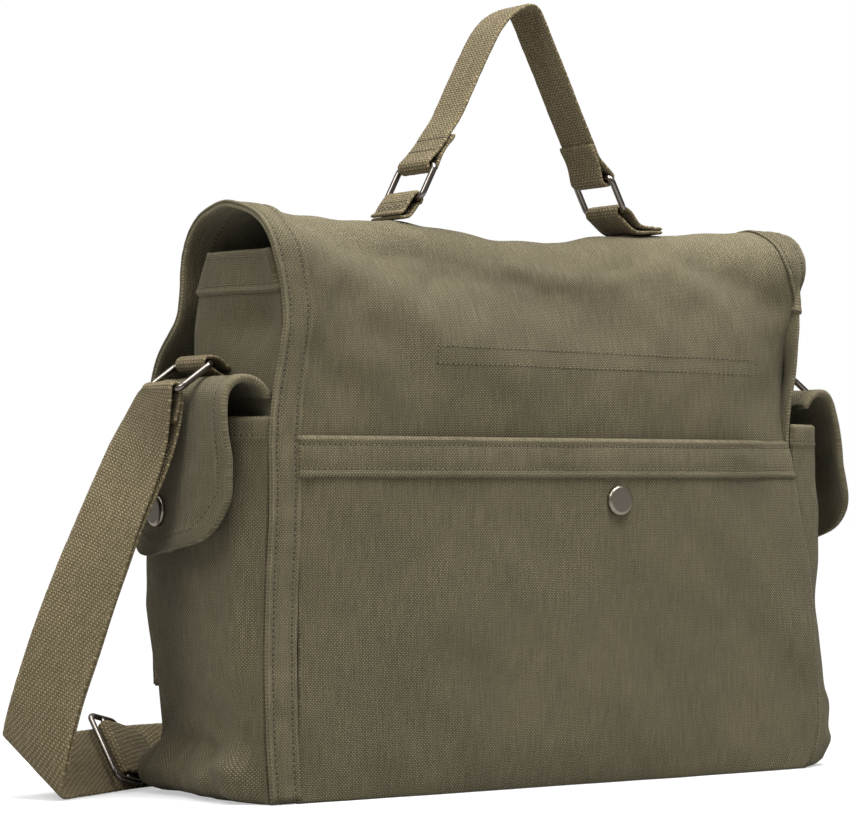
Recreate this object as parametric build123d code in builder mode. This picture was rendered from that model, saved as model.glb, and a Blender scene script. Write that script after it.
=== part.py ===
# A canvas satchel with a fold-over flap, side pockets, a top handle and a shoulder strap.
# Millimetres, +Z up. X is the width, the flap hangs on the -Y side, and the slip pocket faces +Y.
# The origin is the middle of the base, on the floor. "Right" is the +X side.
import math
import os

from build123d import *

os.makedirs("parts", exist_ok=True)

# Bag body
WIDTH = 336.0
DEPTH = 100.0
MOUTH_Z = 255.0
BACK_Z = 229.0
CLOTH = 2.0
FLAP_CLOTH = 2.4
BAND = 1.2
BAND_WIDTH = 15.5
HALF = WIDTH / 2
BACK_Y = DEPTH / 2
FRONT_Y = -DEPTH / 2
FRONT_LINE = [(FRONT_Y, 0), (FRONT_Y, 95), (-22, 190), (-22, 205), (-9, MOUTH_Z)]

# Flap: the line of the cloth's middle, from the back edge over the top and down the front
FLAP_TOP_LINE = [(49, 232), (46, 250), (39, 266), (26, 276.5), (8, 280), (-10, 276.5), (-22, 268)]
FLAP_FRONT_LINE = [(-27.5, 258), (-29, 248), (-29.5, 226), (-36, 213), (-44, 204), (-51, 193),
                   (-55, 180), (-55.5, 98), (-55.5, 50)]
FLAP_HINGE = (51.5, 230.5)
FLAP_SNAP_X = 95.0
FLAP_SNAP_Z = 72.0

# Back slip pocket
POCKET_SIDE = HALF - BAND_WIDTH - 0.2
POCKET_TOP = 168.0
POCKET_GAP = 5.6
HEM = 16.0
BACK_SNAP = (-29.5, 139.0)

# Side pockets
SIDE_HALF = 45.0
SIDE_TOP = 178.0
SIDE_OUT = 14.0
SIDE_FLAP_HALF = 43.0
SIDE_ROOT_LINE = [(HALF + 1.2, 181), (HALF + 1.2, 190), (172.5, 194), (178, 196), (184, 195.2),
                  (187.5, 191.8)]
SIDE_ROOT_SPAN = (-SIDE_FLAP_HALF, 22.0)
SIDE_FLAP_BAND = 8.0
SIDE_FLAP_LINE = [(188.6, 188.5), (189, 165), (190.5, 118)]
SIDE_FLAP_CORNER = 22.0
SIDE_SNAP = (-13.0, 134.5)

# Webbing and wire hardware
HANDLE_WEB = 25.0
STRAP_WEB = 38.0
WEB = 1.8
WIRE = 3.2
RUNNING = 0.3
STRAP_Y = 2.0
TAB_WEB = 25.0
HANDLE_RING_INSIDE = 27.0
STRAP_RING_INSIDE = 28.0
STRAP_GATHER = 26.0
TAB_EYE = (180.0, 203.5)
STRAP_BAR = (198.0, 191.0)
HANDLE_Y = 5.0
HANDLE_EYE = (63.5, 286.5)
HANDLE_BAR = (54.5, 303.5)
HANDLE_PLAY = 1.0
HANDLE_LINE = [(43, 326), (33, 347), (17, 375), (8, 384), (-2, 387), (-11, 384), (-19, 375),
               (-34, 347), (-43, 326)]
TAB_REACH = 15.0
TAB_SEWN = (12.0, 23.5)

# Shoulder strap: where it folds on the floor, and its plan along the floor
FOLD = (236.0, -41.0, 26.0)
STRAP_LAYERS = 5.4
STRAP_LIFT = 3.0
FLOOR_LINE = [(228, -30), (211, -37.5), (190, -48.5), (170, -57), (143, -61.5), (100, -63.5),
              (40, -64.5), (-40, -63), (-100, -64.5), (-143, -61.5), (-172, -55), (-196, -46),
              (-224, -33)]
FLOOR_PARTS = (("right", 0, 4), ("front", 4, 9), ("left", 9, 12))
FLOOR_LEAN = 45.0
ADJUSTER_FOOT = (189.0, -49.0)
ADJUSTER_RISE = 19.0
ADJUSTER_OFFSET = 4.6
ADJUSTER_SIZE = (42.0, 20.0)
ADJUSTER_WIRE = 2.8

# Inner hanging pocket with its zip
INNER = (-118.0, 71.0)
INNER_Y = 42.0
INNER_BOTTOM = 92.0
ZIP_Z = 194.0
ZIP_START = 60.0

SNAP_RADIUS = 7.5
SNAP_HEIGHT = 2.6
POST_RADIUS = 1.5
SOCKET_BORE = 2.6


def middle_of(a, b):
    return (a[0] + b[0]) / 2, (a[1] + b[1]) / 2


def ring_between(eye, bar, y, inside):
    """The ring whose two long bars lie along Y through eye and bar."""
    x, z = middle_of(eye, bar)
    run = math.dist(eye, bar)
    along = ((bar[0] - eye[0]) / run, 0, (bar[1] - eye[1]) / run)
    return wire_ring((x, y, z), (0, 1, 0), along, inside + WIRE, run, WIRE)


def finish(piece, label):
    """Names a finished piece and writes it."""
    piece.part.label = label
    export_step(piece.part, f"parts/{label}.step")


def finish_pair(right, label):
    """Writes a right-hand piece and its mirror image on the left."""
    finish(right, f"{label}_right")
    with BuildPart() as left:
        mirror(right.part, about=Plane.YZ)
    finish(left, f"{label}_left")


def edges_of_strip(points, thickness, lift=0.0):
    """Both edges of a strip that follows points, its middle lifted to the right of their way."""
    near, far = [], []
    for index, (a, b) in enumerate(points):
        before = points[max(index - 1, 0)]
        after = points[min(index + 1, len(points) - 1)]
        run = math.dist(before, after)
        side = ((after[1] - before[1]) / run, -(after[0] - before[0]) / run)
        low = lift - thickness / 2
        high = lift + thickness / 2
        near.append((a + side[0] * low, b + side[1] * low))
        far.append((a + side[0] * high, b + side[1] * high))
    return near, far


def strip(points, thickness, spans, lift=0.0, plane=Plane.YZ, smooth=True):
    """Cloth that follows points in a plane, as one solid for each span along the plane's normal."""
    near, far = edges_of_strip(points, thickness, lift)
    curve = Spline if smooth else Polyline
    with BuildPart() as piece:
        for start, end in spans:
            with BuildSketch(plane.offset(start)):
                with BuildLine():
                    curve(*near)
                    Line(near[-1], far[-1])
                    curve(*reversed(far))
                    Line(far[0], near[0])
                make_face()
            extrude(amount=end - start)
    return piece


def block(low, high):
    """A box between two corners."""
    size = [b - a for a, b in zip(low, high)]
    middle = [(a + b) / 2 for a, b in zip(low, high)]
    with BuildPart(Plane(origin=middle)) as piece:
        Box(*size)
    return piece


def snap_cap(place, outward, post):
    """A domed snap cap with the post that goes back through the cloth."""
    with BuildPart(Plane(origin=place, z_dir=outward)) as cap:
        Cylinder(SNAP_RADIUS, SNAP_HEIGHT, align=(Align.CENTER, Align.CENTER, Align.MIN))
        fillet(cap.edges().group_by(Axis(place, outward))[-1], SNAP_HEIGHT * 0.7)
        Cylinder(POST_RADIUS, post, align=(Align.CENTER, Align.CENTER, Align.MAX))
    return cap


def snap_ring(place, outward, height, bore, radius=6.0):
    """The socket half of a snap, pressed over the cap's post on the inner face."""
    with BuildPart(Plane(origin=place, z_dir=outward)) as ring:
        Cylinder(radius, height, align=(Align.CENTER, Align.CENTER, Align.MAX))
        Hole(bore)
    return ring


def snap_stud(place, outward, height):
    """The stud half of a snap: a flange on the cloth and a round head."""
    with BuildPart(Plane(origin=place, z_dir=outward)) as stud:
        Cylinder(5.0, height * 0.4, align=(Align.CENTER, Align.CENTER, Align.MIN))
        Cylinder(2.2, height, align=(Align.CENTER, Align.CENTER, Align.MIN))
    return stud


def drill(piece, place, outward, depth, radius=POST_RADIUS):
    """Makes the hole that a snap's post goes through."""
    with BuildPart() as drilled:
        add(piece.part)
        with BuildPart(Plane(origin=place, z_dir=outward), mode=Mode.PRIVATE) as tool:
            Cylinder(radius, depth)
        add(tool.part, mode=Mode.SUBTRACT)
    return drilled


def wire_ring(centre, across, along, width, length, wire):
    """A rectangular ring of round wire: width along one direction, length along the other."""
    normal = Vector(*across).cross(Vector(*along))
    plane = Plane(origin=centre, x_dir=across, z_dir=normal)
    corners = [(width / 2, -length / 2), (width / 2, length / 2), (-width / 2, length / 2),
               (-width / 2, -length / 2)]
    with BuildPart() as ring:
        with BuildLine(plane) as path:
            FilletPolyline(*corners, radius=wire * 1.1, close=True)
        with BuildSketch(Plane(origin=path.line @ 0, z_dir=path.line % 0)):
            Circle(wire / 2)
        sweep(path=path.line)
    return ring


def web_loop(eye, tail, bore, span, tail_radius=WEB):
    """Webbing folded round a bar along Y and sewn to itself, from the bar's middle to its tail."""
    with BuildPart() as loop:
        with BuildSketch(Plane.XZ.offset(-span[1])):
            with Locations(eye):
                Circle(bore + WEB)
            with Locations(tail):
                Circle(tail_radius)
            make_hull()
            with Locations(eye):
                Circle(bore, mode=Mode.SUBTRACT)
        extrude(amount=span[1] - span[0])
    return loop


def span_round(middle, width):
    """Where a band of webbing starts and ends along Y."""
    return middle - width / 2, middle + width / 2


# ---------------------------------------------------------------- bag body
INNER_FRONT = [(y + CLOTH, z) for y, z in FRONT_LINE]
GUSSET_BACK = [(40.5, MOUTH_Z), (43, 249), (BACK_Y - CLOTH, BACK_Z - 1)]

back_panel = block((-HALF, BACK_Y - CLOTH, 0), (HALF, BACK_Y, BACK_Z))
finish(back_panel, "back_panel")

with BuildPart() as front_panel:
    with BuildSketch(Plane.YZ.offset(-HALF)):
        with BuildLine():
            Polyline(*FRONT_LINE, *reversed(INNER_FRONT), close=True)
        make_face()
    extrude(amount=WIDTH)
finish(front_panel, "front_panel")

with BuildPart() as gusset:
    with BuildSketch(Plane.YZ.offset(HALF - CLOTH)):
        with BuildLine():
            Polyline(*INNER_FRONT, *GUSSET_BACK, (BACK_Y - CLOTH, 0), close=True)
        make_face()
    extrude(amount=CLOTH)
finish_pair(gusset, "gusset")

base_panel = block((CLOTH - HALF, FRONT_Y + CLOTH, 0), (HALF - CLOTH, BACK_Y - CLOTH, CLOTH))
finish(base_panel, "base_panel")

with BuildPart() as mouth_facing:
    with BuildSketch(Plane.YZ.offset(CLOTH - HALF)):
        with BuildLine():
            Polyline((-11.0, 239), (-7.0, MOUTH_Z), (40, MOUTH_Z), (40, 239), close=True)
        make_face()
    extrude(amount=WIDTH - 2 * CLOTH)
    with BuildSketch(Plane.YZ.offset(CLOTH + BAND - HALF)):
        with BuildLine():
            Polyline((-9.8, 238), (-5.4, MOUTH_Z + 1), (BACK_Y, MOUTH_Z + 1), (BACK_Y, 238),
                     close=True)
        make_face()
    extrude(amount=WIDTH - 2 * CLOTH - 2 * BAND, mode=Mode.SUBTRACT)
finish(mouth_facing, "mouth_facing")

band_low = (HALF - BAND_WIDTH, BACK_Y, 1)
back_edge_band = block(band_low, (HALF, BACK_Y + BAND, BACK_Z - 1))
finish_pair(back_edge_band, "back_edge_band")

# ---------------------------------------------------------------- back slip pocket
POCKET_Y = BACK_Y + POCKET_GAP
with BuildPart() as pocket_tray:
    with BuildSketch(Plane.XZ.offset(-POCKET_Y - CLOTH)):
        with BuildLine():
            Polyline((-POCKET_SIDE, 3), (POCKET_SIDE, 3), (POCKET_SIDE, POCKET_TOP - BAND),
                     (-POCKET_SIDE, POCKET_TOP - BAND), close=True)
        make_face()
    extrude(amount=POCKET_GAP + CLOTH)
    with BuildSketch(Plane.XZ.offset(-POCKET_Y)):
        with BuildLine():
            inside = POCKET_SIDE - CLOTH
            Polyline((-inside, 3 + CLOTH), (inside, 3 + CLOTH), (inside, POCKET_TOP),
                     (-inside, POCKET_TOP), close=True)
        make_face()
    extrude(amount=POCKET_GAP, mode=Mode.SUBTRACT)
SNAP_AT = (BACK_SNAP[0], POCKET_Y + CLOTH, BACK_SNAP[1])
back_pocket_panel = drill(pocket_tray, SNAP_AT, (0, 1, 0), 3 * CLOTH)
finish(back_pocket_panel, "back_pocket_panel")

hem_outer = POCKET_Y + CLOTH
with BuildPart() as back_pocket_hem:
    with BuildSketch(Plane.YZ.offset(CLOTH - POCKET_SIDE)):
        with BuildLine():
            Polyline((hem_outer, POCKET_TOP - HEM), (hem_outer + BAND, POCKET_TOP - HEM),
                     (hem_outer + BAND, POCKET_TOP), (POCKET_Y - 0.8, POCKET_TOP),
                     (POCKET_Y - 0.8, POCKET_TOP - HEM), (POCKET_Y, POCKET_TOP - HEM),
                     (POCKET_Y, POCKET_TOP - BAND), (hem_outer, POCKET_TOP - BAND), close=True)
        make_face()
    extrude(amount=2 * (POCKET_SIDE - CLOTH))
finish(back_pocket_hem, "back_pocket_hem")

finish(snap_cap(SNAP_AT, (0, 1, 0), CLOTH), "back_snap_cap")
socket_at = (BACK_SNAP[0], POCKET_Y, BACK_SNAP[1])
finish(snap_ring(socket_at, (0, 1, 0), 1.5, SOCKET_BORE), "back_snap_socket")
finish(snap_stud((BACK_SNAP[0], BACK_Y, BACK_SNAP[1]), (0, 1, 0), 4.8), "back_snap_stud")

# ---------------------------------------------------------------- side pockets
SIDE_FACE = HALF + SIDE_OUT
with BuildPart() as side_tray:
    with BuildSketch(Plane.YZ.offset(HALF)):
        with BuildLine():
            Polyline((-SIDE_HALF, 2), (SIDE_HALF, 2), (SIDE_HALF, SIDE_TOP),
                     (5 - SIDE_HALF / 2, SIDE_TOP), (5 - SIDE_HALF, 100), (-SIDE_HALF, 80),
                     close=True)
        make_face()
    extrude(amount=SIDE_OUT)
    with BuildSketch(Plane.YZ.offset(HALF)):
        with BuildLine():
            Polyline((CLOTH - SIDE_HALF, 2 + CLOTH), (SIDE_HALF - CLOTH, 2 + CLOTH),
                     (SIDE_HALF - CLOTH, SIDE_TOP + 1), (7 - SIDE_HALF / 2, SIDE_TOP + 1),
                     (7 - SIDE_HALF, 100), (CLOTH - SIDE_HALF, 80), close=True)
        make_face()
    extrude(amount=SIDE_OUT - CLOTH, mode=Mode.SUBTRACT)
SIDE_SNAP_AT = (SIDE_FACE, SIDE_SNAP[0], SIDE_SNAP[1])
finish_pair(side_tray, "side_pocket")

side_root = strip(SIDE_ROOT_LINE, FLAP_CLOTH, [SIDE_ROOT_SPAN], plane=Plane.XZ, smooth=False)
finish_pair(side_root, "side_flap_root")

with BuildPart() as side_flap_cut:
    with BuildSketch(Plane.YZ.offset(HALF)):
        with BuildLine():
            FilletPolyline((-SIDE_FLAP_HALF, 200), (-SIDE_FLAP_HALF, 118), (SIDE_FLAP_HALF, 118),
                           (SIDE_FLAP_HALF, 200), radius=SIDE_FLAP_CORNER)
            Line((SIDE_FLAP_HALF, 200), (-SIDE_FLAP_HALF, 200))
        make_face()
    extrude(amount=40)
with BuildPart() as side_flap_hole:
    with BuildSketch(Plane.YZ.offset(HALF)):
        with BuildLine():
            inner_half = SIDE_FLAP_HALF - SIDE_FLAP_BAND
            FilletPolyline((-inner_half, 200), (-inner_half, 118 + SIDE_FLAP_BAND),
                           (inner_half, 118 + SIDE_FLAP_BAND), (inner_half, 200),
                           radius=SIDE_FLAP_CORNER - SIDE_FLAP_BAND)
            Line((inner_half, 200), (-inner_half, 200))
        make_face()
    extrude(amount=40)

with BuildPart() as side_flap:
    add(strip(SIDE_FLAP_LINE, FLAP_CLOTH, [(-SIDE_FLAP_HALF, SIDE_FLAP_HALF)], plane=Plane.XZ,
              smooth=False).part)
    add(side_flap_cut.part, mode=Mode.INTERSECT)
FLAP_FACE = 191.5
SIDE_CAP_AT = (FLAP_FACE, SIDE_SNAP[0], SIDE_SNAP[1])
side_flap = drill(side_flap, SIDE_CAP_AT, (1, 0, 0), 8.0)
finish_pair(side_flap, "side_pocket_flap")

with BuildPart() as side_flap_binding:
    add(strip(SIDE_FLAP_LINE, BAND, [(-SIDE_FLAP_HALF, SIDE_FLAP_HALF)],
              lift=-(FLAP_CLOTH + BAND) / 2, plane=Plane.XZ, smooth=False).part)
    add(side_flap_cut.part, mode=Mode.INTERSECT)
    add(side_flap_hole.part, mode=Mode.SUBTRACT)
finish_pair(side_flap_binding, "side_flap_binding")

finish_pair(snap_cap(SIDE_CAP_AT, (1, 0, 0), 3.1), "side_snap_cap")
side_socket_at = (FLAP_FACE - 3.1, SIDE_SNAP[0], SIDE_SNAP[1])
finish_pair(snap_ring(side_socket_at, (1, 0, 0), 1.6, SOCKET_BORE), "side_snap_socket")
finish_pair(snap_stud(SIDE_SNAP_AT, (1, 0, 0), 5.4), "side_snap_stud")

# ---------------------------------------------------------------- flap
FLAP_HALF = HALF - 0.4
FULL = [(-FLAP_HALF, FLAP_HALF)]
EDGES = [(-FLAP_HALF, BAND_WIDTH - HALF), (HALF - BAND_WIDTH, FLAP_HALF)]
OUTWARD = (FLAP_CLOTH + BAND) / 2

flap_top = strip(FLAP_TOP_LINE, FLAP_CLOTH, FULL)
finish(flap_top, "flap_top")
flap_front = strip(FLAP_FRONT_LINE, FLAP_CLOTH, FULL, smooth=False)
for side in (-1, 1):
    flap_front = drill(flap_front, (side * FLAP_SNAP_X, -55, FLAP_SNAP_Z), (0, -1, 0), 12)
finish(flap_front, "flap_front")
finish(strip(FLAP_TOP_LINE, BAND, EDGES, lift=OUTWARD), "flap_top_edge_bands")
finish(strip(FLAP_FRONT_LINE, BAND, EDGES, lift=OUTWARD, smooth=False), "flap_front_edge_bands")

hem_y = FLAP_FRONT_LINE[-1][0] - FLAP_CLOTH / 2
flap_hem = block((BAND_WIDTH - HALF, hem_y - BAND, 51), (HALF - BAND_WIDTH, hem_y, 51 + 8))
finish(flap_hem, "flap_hem_band")

with BuildPart() as flap_snap_caps:
    for side in (-1, 1):
        cap_at = (side * FLAP_SNAP_X, hem_y, FLAP_SNAP_Z)
        add(snap_cap(cap_at, (0, -1, 0), FLAP_CLOTH + 0.5).part)
finish(flap_snap_caps, "flap_snap_caps")
with BuildPart() as flap_snap_sockets:
    for side in (-1, 1):
        ring_at = (side * FLAP_SNAP_X, hem_y + FLAP_CLOTH, FLAP_SNAP_Z)
        add(snap_ring(ring_at, (0, -1, 0), 1.2, SOCKET_BORE).part)
finish(flap_snap_sockets, "flap_snap_sockets")
with BuildPart() as flap_snap_studs:
    for side in (-1, 1):
        add(snap_stud((side * FLAP_SNAP_X, FRONT_Y, FLAP_SNAP_Z), (0, -1, 0), 2.9).part)
finish(flap_snap_studs, "flap_snap_studs")

# ---------------------------------------------------------------- handle
EYE_BORE = WIRE / 2 + RUNNING
handle_span = span_round(HANDLE_Y, HANDLE_WEB)
TAB_Z = 281.6
handle_tab = web_loop(HANDLE_EYE, (HANDLE_EYE[0] + TAB_REACH, TAB_Z + 1), EYE_BORE, handle_span, 1.0)
with BuildPart() as handle_tab_sewn:
    add(handle_tab.part)
    add(block((HANDLE_EYE[0] + TAB_SEWN[0], handle_span[0], TAB_Z),
              (HANDLE_EYE[0] + TAB_SEWN[1], handle_span[1], TAB_Z + 2)).part)
finish_pair(handle_tab_sewn, "handle_tab")

finish_pair(ring_between(HANDLE_EYE, HANDLE_BAR, HANDLE_Y, HANDLE_RING_INSIDE),
            "handle_ring")

with BuildPart() as handle_strap:
    for side in (1, -1):
        bore = EYE_BORE if side > 0 else EYE_BORE + HANDLE_PLAY
        bar = (side * HANDLE_BAR[0], HANDLE_BAR[1])
        leg = HANDLE_LINE[0] if side > 0 else HANDLE_LINE[-1]
        add(web_loop(bar, leg, bore, handle_span).part)
    add(strip(HANDLE_LINE, WEB, [(-handle_span[1], -handle_span[0])], plane=Plane.XZ).part)
finish(handle_strap, "handle_strap")

# ---------------------------------------------------------------- shoulder strap
tab_span = span_round(STRAP_Y, TAB_WEB)
strap_tab = web_loop(TAB_EYE, (HALF + 1.8, 200.5), EYE_BORE, tab_span)
with BuildPart() as strap_tab_sewn:
    add(strap_tab.part)
    add(block((HALF, tab_span[0], 199), (HALF + 2, tab_span[1], 215)).part)
    split(bisect_by=Plane.YZ.offset(HALF), keep=Keep.TOP)
finish_pair(strap_tab_sewn, "strap_tab")
finish_pair(ring_between(TAB_EYE, STRAP_BAR, STRAP_Y, STRAP_RING_INSIDE), "strap_ring")

bar_point = Vector(STRAP_BAR[0], STRAP_Y, STRAP_BAR[1])
strap_way = (Vector(*FOLD) - bar_point).normalized()
strap_across = Vector(-0.2, 0.98, 0)
strap_across = (strap_across - strap_way * strap_across.dot(strap_way)).normalized()
strap_length = (Vector(*FOLD) - bar_point).length
with BuildPart() as strap_upper:
    add(web_loop(STRAP_BAR, (STRAP_BAR[0] + 3.4, STRAP_BAR[1] - 14), EYE_BORE,
                 span_round(STRAP_Y, STRAP_GATHER), STRAP_LAYERS / 2).part)
    start = bar_point + strap_way * 12
    with BuildSketch(Plane(origin=start, x_dir=strap_across, z_dir=strap_way)):
        Rectangle(STRAP_WEB, STRAP_LAYERS)
    extrude(amount=strap_length - 12)
finish_pair(strap_upper, "strap_upper")

lean = math.radians(FLOOR_LEAN)
lean_way = Vector(0, -math.sin(lean), math.cos(lean))
near_edge, far_edge = edges_of_strip(FLOOR_LINE, WEB)
for label, first, last in FLOOR_PARTS:
    with BuildPart() as strap_floor:
        with BuildSketch(Plane.XY.offset(STRAP_LIFT)):
            with BuildLine():
                Polyline(*near_edge[first:last + 1], *reversed(far_edge[first:last + 1]), close=True)
            make_face()
        extrude(amount=STRAP_WEB, dir=lean_way)
    finish(strap_floor, f"strap_floor_run_{label}")

long_way = lean_way
short_way = (Vector(*FLOOR_LINE[2], 0) - Vector(*FLOOR_LINE[1], 0)).normalized()
short_way = (short_way - long_way * short_way.dot(long_way)).normalized()
run_normal = short_way.cross(long_way)
foot = Vector(*ADJUSTER_FOOT, STRAP_LIFT)
ADJUSTER_CENTRE = foot + long_way * ADJUSTER_RISE + run_normal * ADJUSTER_OFFSET
long_size = ADJUSTER_SIZE[0] - ADJUSTER_WIRE
short_size = ADJUSTER_SIZE[1] - ADJUSTER_WIRE
with BuildPart() as strap_adjuster:
    add(wire_ring(ADJUSTER_CENTRE, short_way, long_way, short_size, long_size,
                  ADJUSTER_WIRE).part)
    with BuildSketch(Plane(origin=ADJUSTER_CENTRE - long_way * long_size / 2, z_dir=long_way)):
        Circle(ADJUSTER_WIRE / 2 - 0.2)
    extrude(amount=long_size)
finish(strap_adjuster, "strap_adjuster")

sleeve_plane = Plane(origin=ADJUSTER_CENTRE - long_way * 15, x_dir=short_way, z_dir=long_way)
with BuildPart() as adjuster_loop:
    with BuildSketch(sleeve_plane):
        Circle(ADJUSTER_WIRE / 2 - 0.2 + WEB)
        Circle(ADJUSTER_WIRE / 2 - 0.2, mode=Mode.SUBTRACT)
    extrude(amount=30)
finish(adjuster_loop, "adjuster_loop")

# ---------------------------------------------------------------- inner pocket and zip
with BuildPart() as inner_pocket:
    with BuildSketch(Plane.XZ.offset(CLOTH - BACK_Y)):
        with BuildLine():
            Polyline((INNER[0], INNER_BOTTOM), (INNER[1], INNER_BOTTOM), (INNER[1], 208),
                     (INNER[0], 208), close=True)
        make_face()
    extrude(amount=BACK_Y - CLOTH - INNER_Y)
    with BuildSketch(Plane.XZ.offset(CLOTH - BACK_Y)):
        with BuildLine():
            Polyline((INNER[0] + 1.2, INNER_BOTTOM + 1.2), (INNER[1] - 1.2, INNER_BOTTOM + 1.2),
                     (INNER[1] - 1.2, 206), (INNER[0] + 1.2, 206), close=True)
        make_face()
    extrude(amount=BACK_Y - CLOTH - INNER_Y - 1.2, mode=Mode.SUBTRACT)
    add(block((INNER[0] + 12, INNER_Y - 1, ZIP_Z - 4), (INNER[1] - 12, INNER_Y + 2, ZIP_Z + 4)).part,
        mode=Mode.SUBTRACT)
finish(inner_pocket, "inner_pocket")

TAPE_Y = INNER_Y - 0.7
tape_low = (INNER[0] + 6, TAPE_Y, ZIP_Z - 11)
finish(block(tape_low, (INNER[1] - 6, INNER_Y, ZIP_Z + 11)), "zip_tape")
TEETH_Y = TAPE_Y - 1.4
with BuildPart() as zip_teeth:
    tooth_count = int((INNER[1] - INNER[0] - 20) / 4.5)
    with Locations((INNER[0] / 2 + INNER[1] / 2, TAPE_Y - 0.3, ZIP_Z)):
        Box(INNER[1] - INNER[0] - 20, 0.6, 3.0)
    tooth_place = Plane(origin=(INNER[0] / 2 + INNER[1] / 2, (TEETH_Y + TAPE_Y) / 2, ZIP_Z))
    with Locations(tooth_place):
        with GridLocations(4.5, 1, tooth_count, 1):
            Box(1.6, TAPE_Y - TEETH_Y, 4.4)
finish(zip_teeth, "zip_teeth")
SLIDER_Y = TEETH_Y - 0.3
SLIDER_THICK = 1.8
PIN_GAP = 1.5
PULL_Y = SLIDER_Y - SLIDER_THICK - PIN_GAP
PULL_THICK = 1.4
PIN = 0.4
with BuildPart(Plane(origin=(ZIP_START, SLIDER_Y, ZIP_Z))) as zip_slider:
    Box(12, SLIDER_THICK, 8, align=(Align.CENTER, Align.MAX, Align.CENTER))
    for side in (-1, 1):
        with Locations((side * 3.3, -SLIDER_THICK, 0)):
            Box(1, PIN_GAP + 1, 1.8, align=(Align.CENTER, Align.MAX, Align.CENTER))
    with Locations(Plane(origin=(0, PULL_Y - SLIDER_Y, 0), z_dir=(1, 0, 0))):
        Cylinder(PIN, 7)
finish(zip_slider, "zip_slider")
with BuildPart(Plane(origin=(ZIP_START, PULL_Y, ZIP_Z))) as zip_pull:
    with Locations((0, 0, 0.9)):
        Box(4.8, PULL_THICK, 24, align=(Align.CENTER, Align.CENTER, Align.MAX))
    with Locations(Plane(origin=(0, 0, 0), z_dir=(1, 0, 0))):
        Cylinder(PIN + 0.06, 7, mode=Mode.SUBTRACT)
finish(zip_pull, "zip_pull")
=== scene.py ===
# Looks of the canvas satchel: cloth, webbing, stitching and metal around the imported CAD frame.
# Shapes are worked out in millimetres in the CAD frame and written to Blender in metres.
import math

import bmesh
import bpy
import numpy as np
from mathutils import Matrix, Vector


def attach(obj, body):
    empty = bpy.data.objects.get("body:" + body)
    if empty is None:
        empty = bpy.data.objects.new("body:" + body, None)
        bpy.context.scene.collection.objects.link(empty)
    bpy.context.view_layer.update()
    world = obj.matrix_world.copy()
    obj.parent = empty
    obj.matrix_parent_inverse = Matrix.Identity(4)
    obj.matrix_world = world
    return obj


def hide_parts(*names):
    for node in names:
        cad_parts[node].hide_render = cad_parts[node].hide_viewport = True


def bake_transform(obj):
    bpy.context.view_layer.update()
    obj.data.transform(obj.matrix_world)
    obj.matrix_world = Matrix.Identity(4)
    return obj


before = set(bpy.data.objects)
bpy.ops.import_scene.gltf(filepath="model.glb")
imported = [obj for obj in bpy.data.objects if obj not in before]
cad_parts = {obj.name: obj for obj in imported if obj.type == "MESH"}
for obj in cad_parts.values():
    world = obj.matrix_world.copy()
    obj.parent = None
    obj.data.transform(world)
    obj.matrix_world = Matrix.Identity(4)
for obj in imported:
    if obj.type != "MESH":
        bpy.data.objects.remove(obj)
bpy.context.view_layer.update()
MM = 0.001
CLOTH_THICK = 2.0

# ------------------------------------------------------------------ small maths


def smooth(value, low, high):
    """0 before low, 1 after high, and a smooth turn between."""
    t = np.clip((np.asarray(value, float) - low) / (high - low), 0, 1)
    return t * t * (3 - 2 * t)


def bell(value, middle, width):
    return np.exp(-(((np.asarray(value, float) - middle) / width) ** 2))


def waves(u, v, size, seed):
    """A smooth random field of about unit height, the same each run."""
    draw = np.random.RandomState(seed)
    total = 0.0
    for _ in range(12):
        angle = draw.uniform(0, math.pi)
        length = size * draw.uniform(0.7, 1.6)
        phase = draw.uniform(0, 2 * math.pi)
        along = u * math.cos(angle) + v * math.sin(angle)
        total = total + np.cos(along * 2 * math.pi / length + phase)
    return total / 3.0


def through(points, count=600):
    """A smooth line through points, evenly spaced: (lengths along it, points on it)."""
    p = np.array(points, float)
    p = np.vstack([2 * p[0] - p[1], p, 2 * p[-1] - p[-2]])
    found = []
    for a, b, c, d in zip(p[:-3], p[1:-2], p[2:-1], p[3:]):
        t = np.linspace(0, 1, 40, endpoint=False)[:, None]
        found.append(0.5 * (2 * b + (c - a) * t + (2 * a - 5 * b + 4 * c - d) * t**2
                            + (3 * b - a - 3 * c + d) * t**3))
    line = np.vstack(found + [p[-2][None]])
    lengths = run_of(line)
    even = np.linspace(0, lengths[-1], count)
    return even, np.stack([np.interp(even, lengths, line[:, k]) for k in range(p.shape[1])], 1)


def at(line, s):
    lengths, points = line
    return [np.interp(s, lengths, points[:, k]) for k in range(points.shape[1])]


def knots(value, pairs):
    """A smooth line through (place, height) pairs."""
    x = np.array([p[0] for p in pairs], float)
    y = np.array([p[1] for p in pairs], float)
    slope = np.gradient(y, x)
    value = np.clip(np.asarray(value, float), x[0], x[-1])
    i = np.clip(np.searchsorted(x, value, side="right") - 1, 0, len(x) - 2)
    h = x[i + 1] - x[i]
    t = (value - x[i]) / h
    return (y[i] * (2 * t**3 - 3 * t**2 + 1) + slope[i] * h * (t**3 - 2 * t**2 + t)
            + y[i + 1] * (3 * t**2 - 2 * t**3) + slope[i + 1] * h * (t**3 - t**2))


def straight(value, pairs):
    """Straight lines through (place, height) pairs."""
    return np.interp(value, [p[0] for p in pairs], [p[1] for p in pairs])


def run_of(points):
    """How far along a line of points each one is."""
    return np.concatenate([[0], np.cumsum(np.linalg.norm(np.diff(points, axis=0), axis=1))])


def unit(v):
    return v / np.maximum(np.linalg.norm(v, axis=-1, keepdims=True), 1e-9)


# ------------------------------------------------------------------ cloth as a grid


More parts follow.
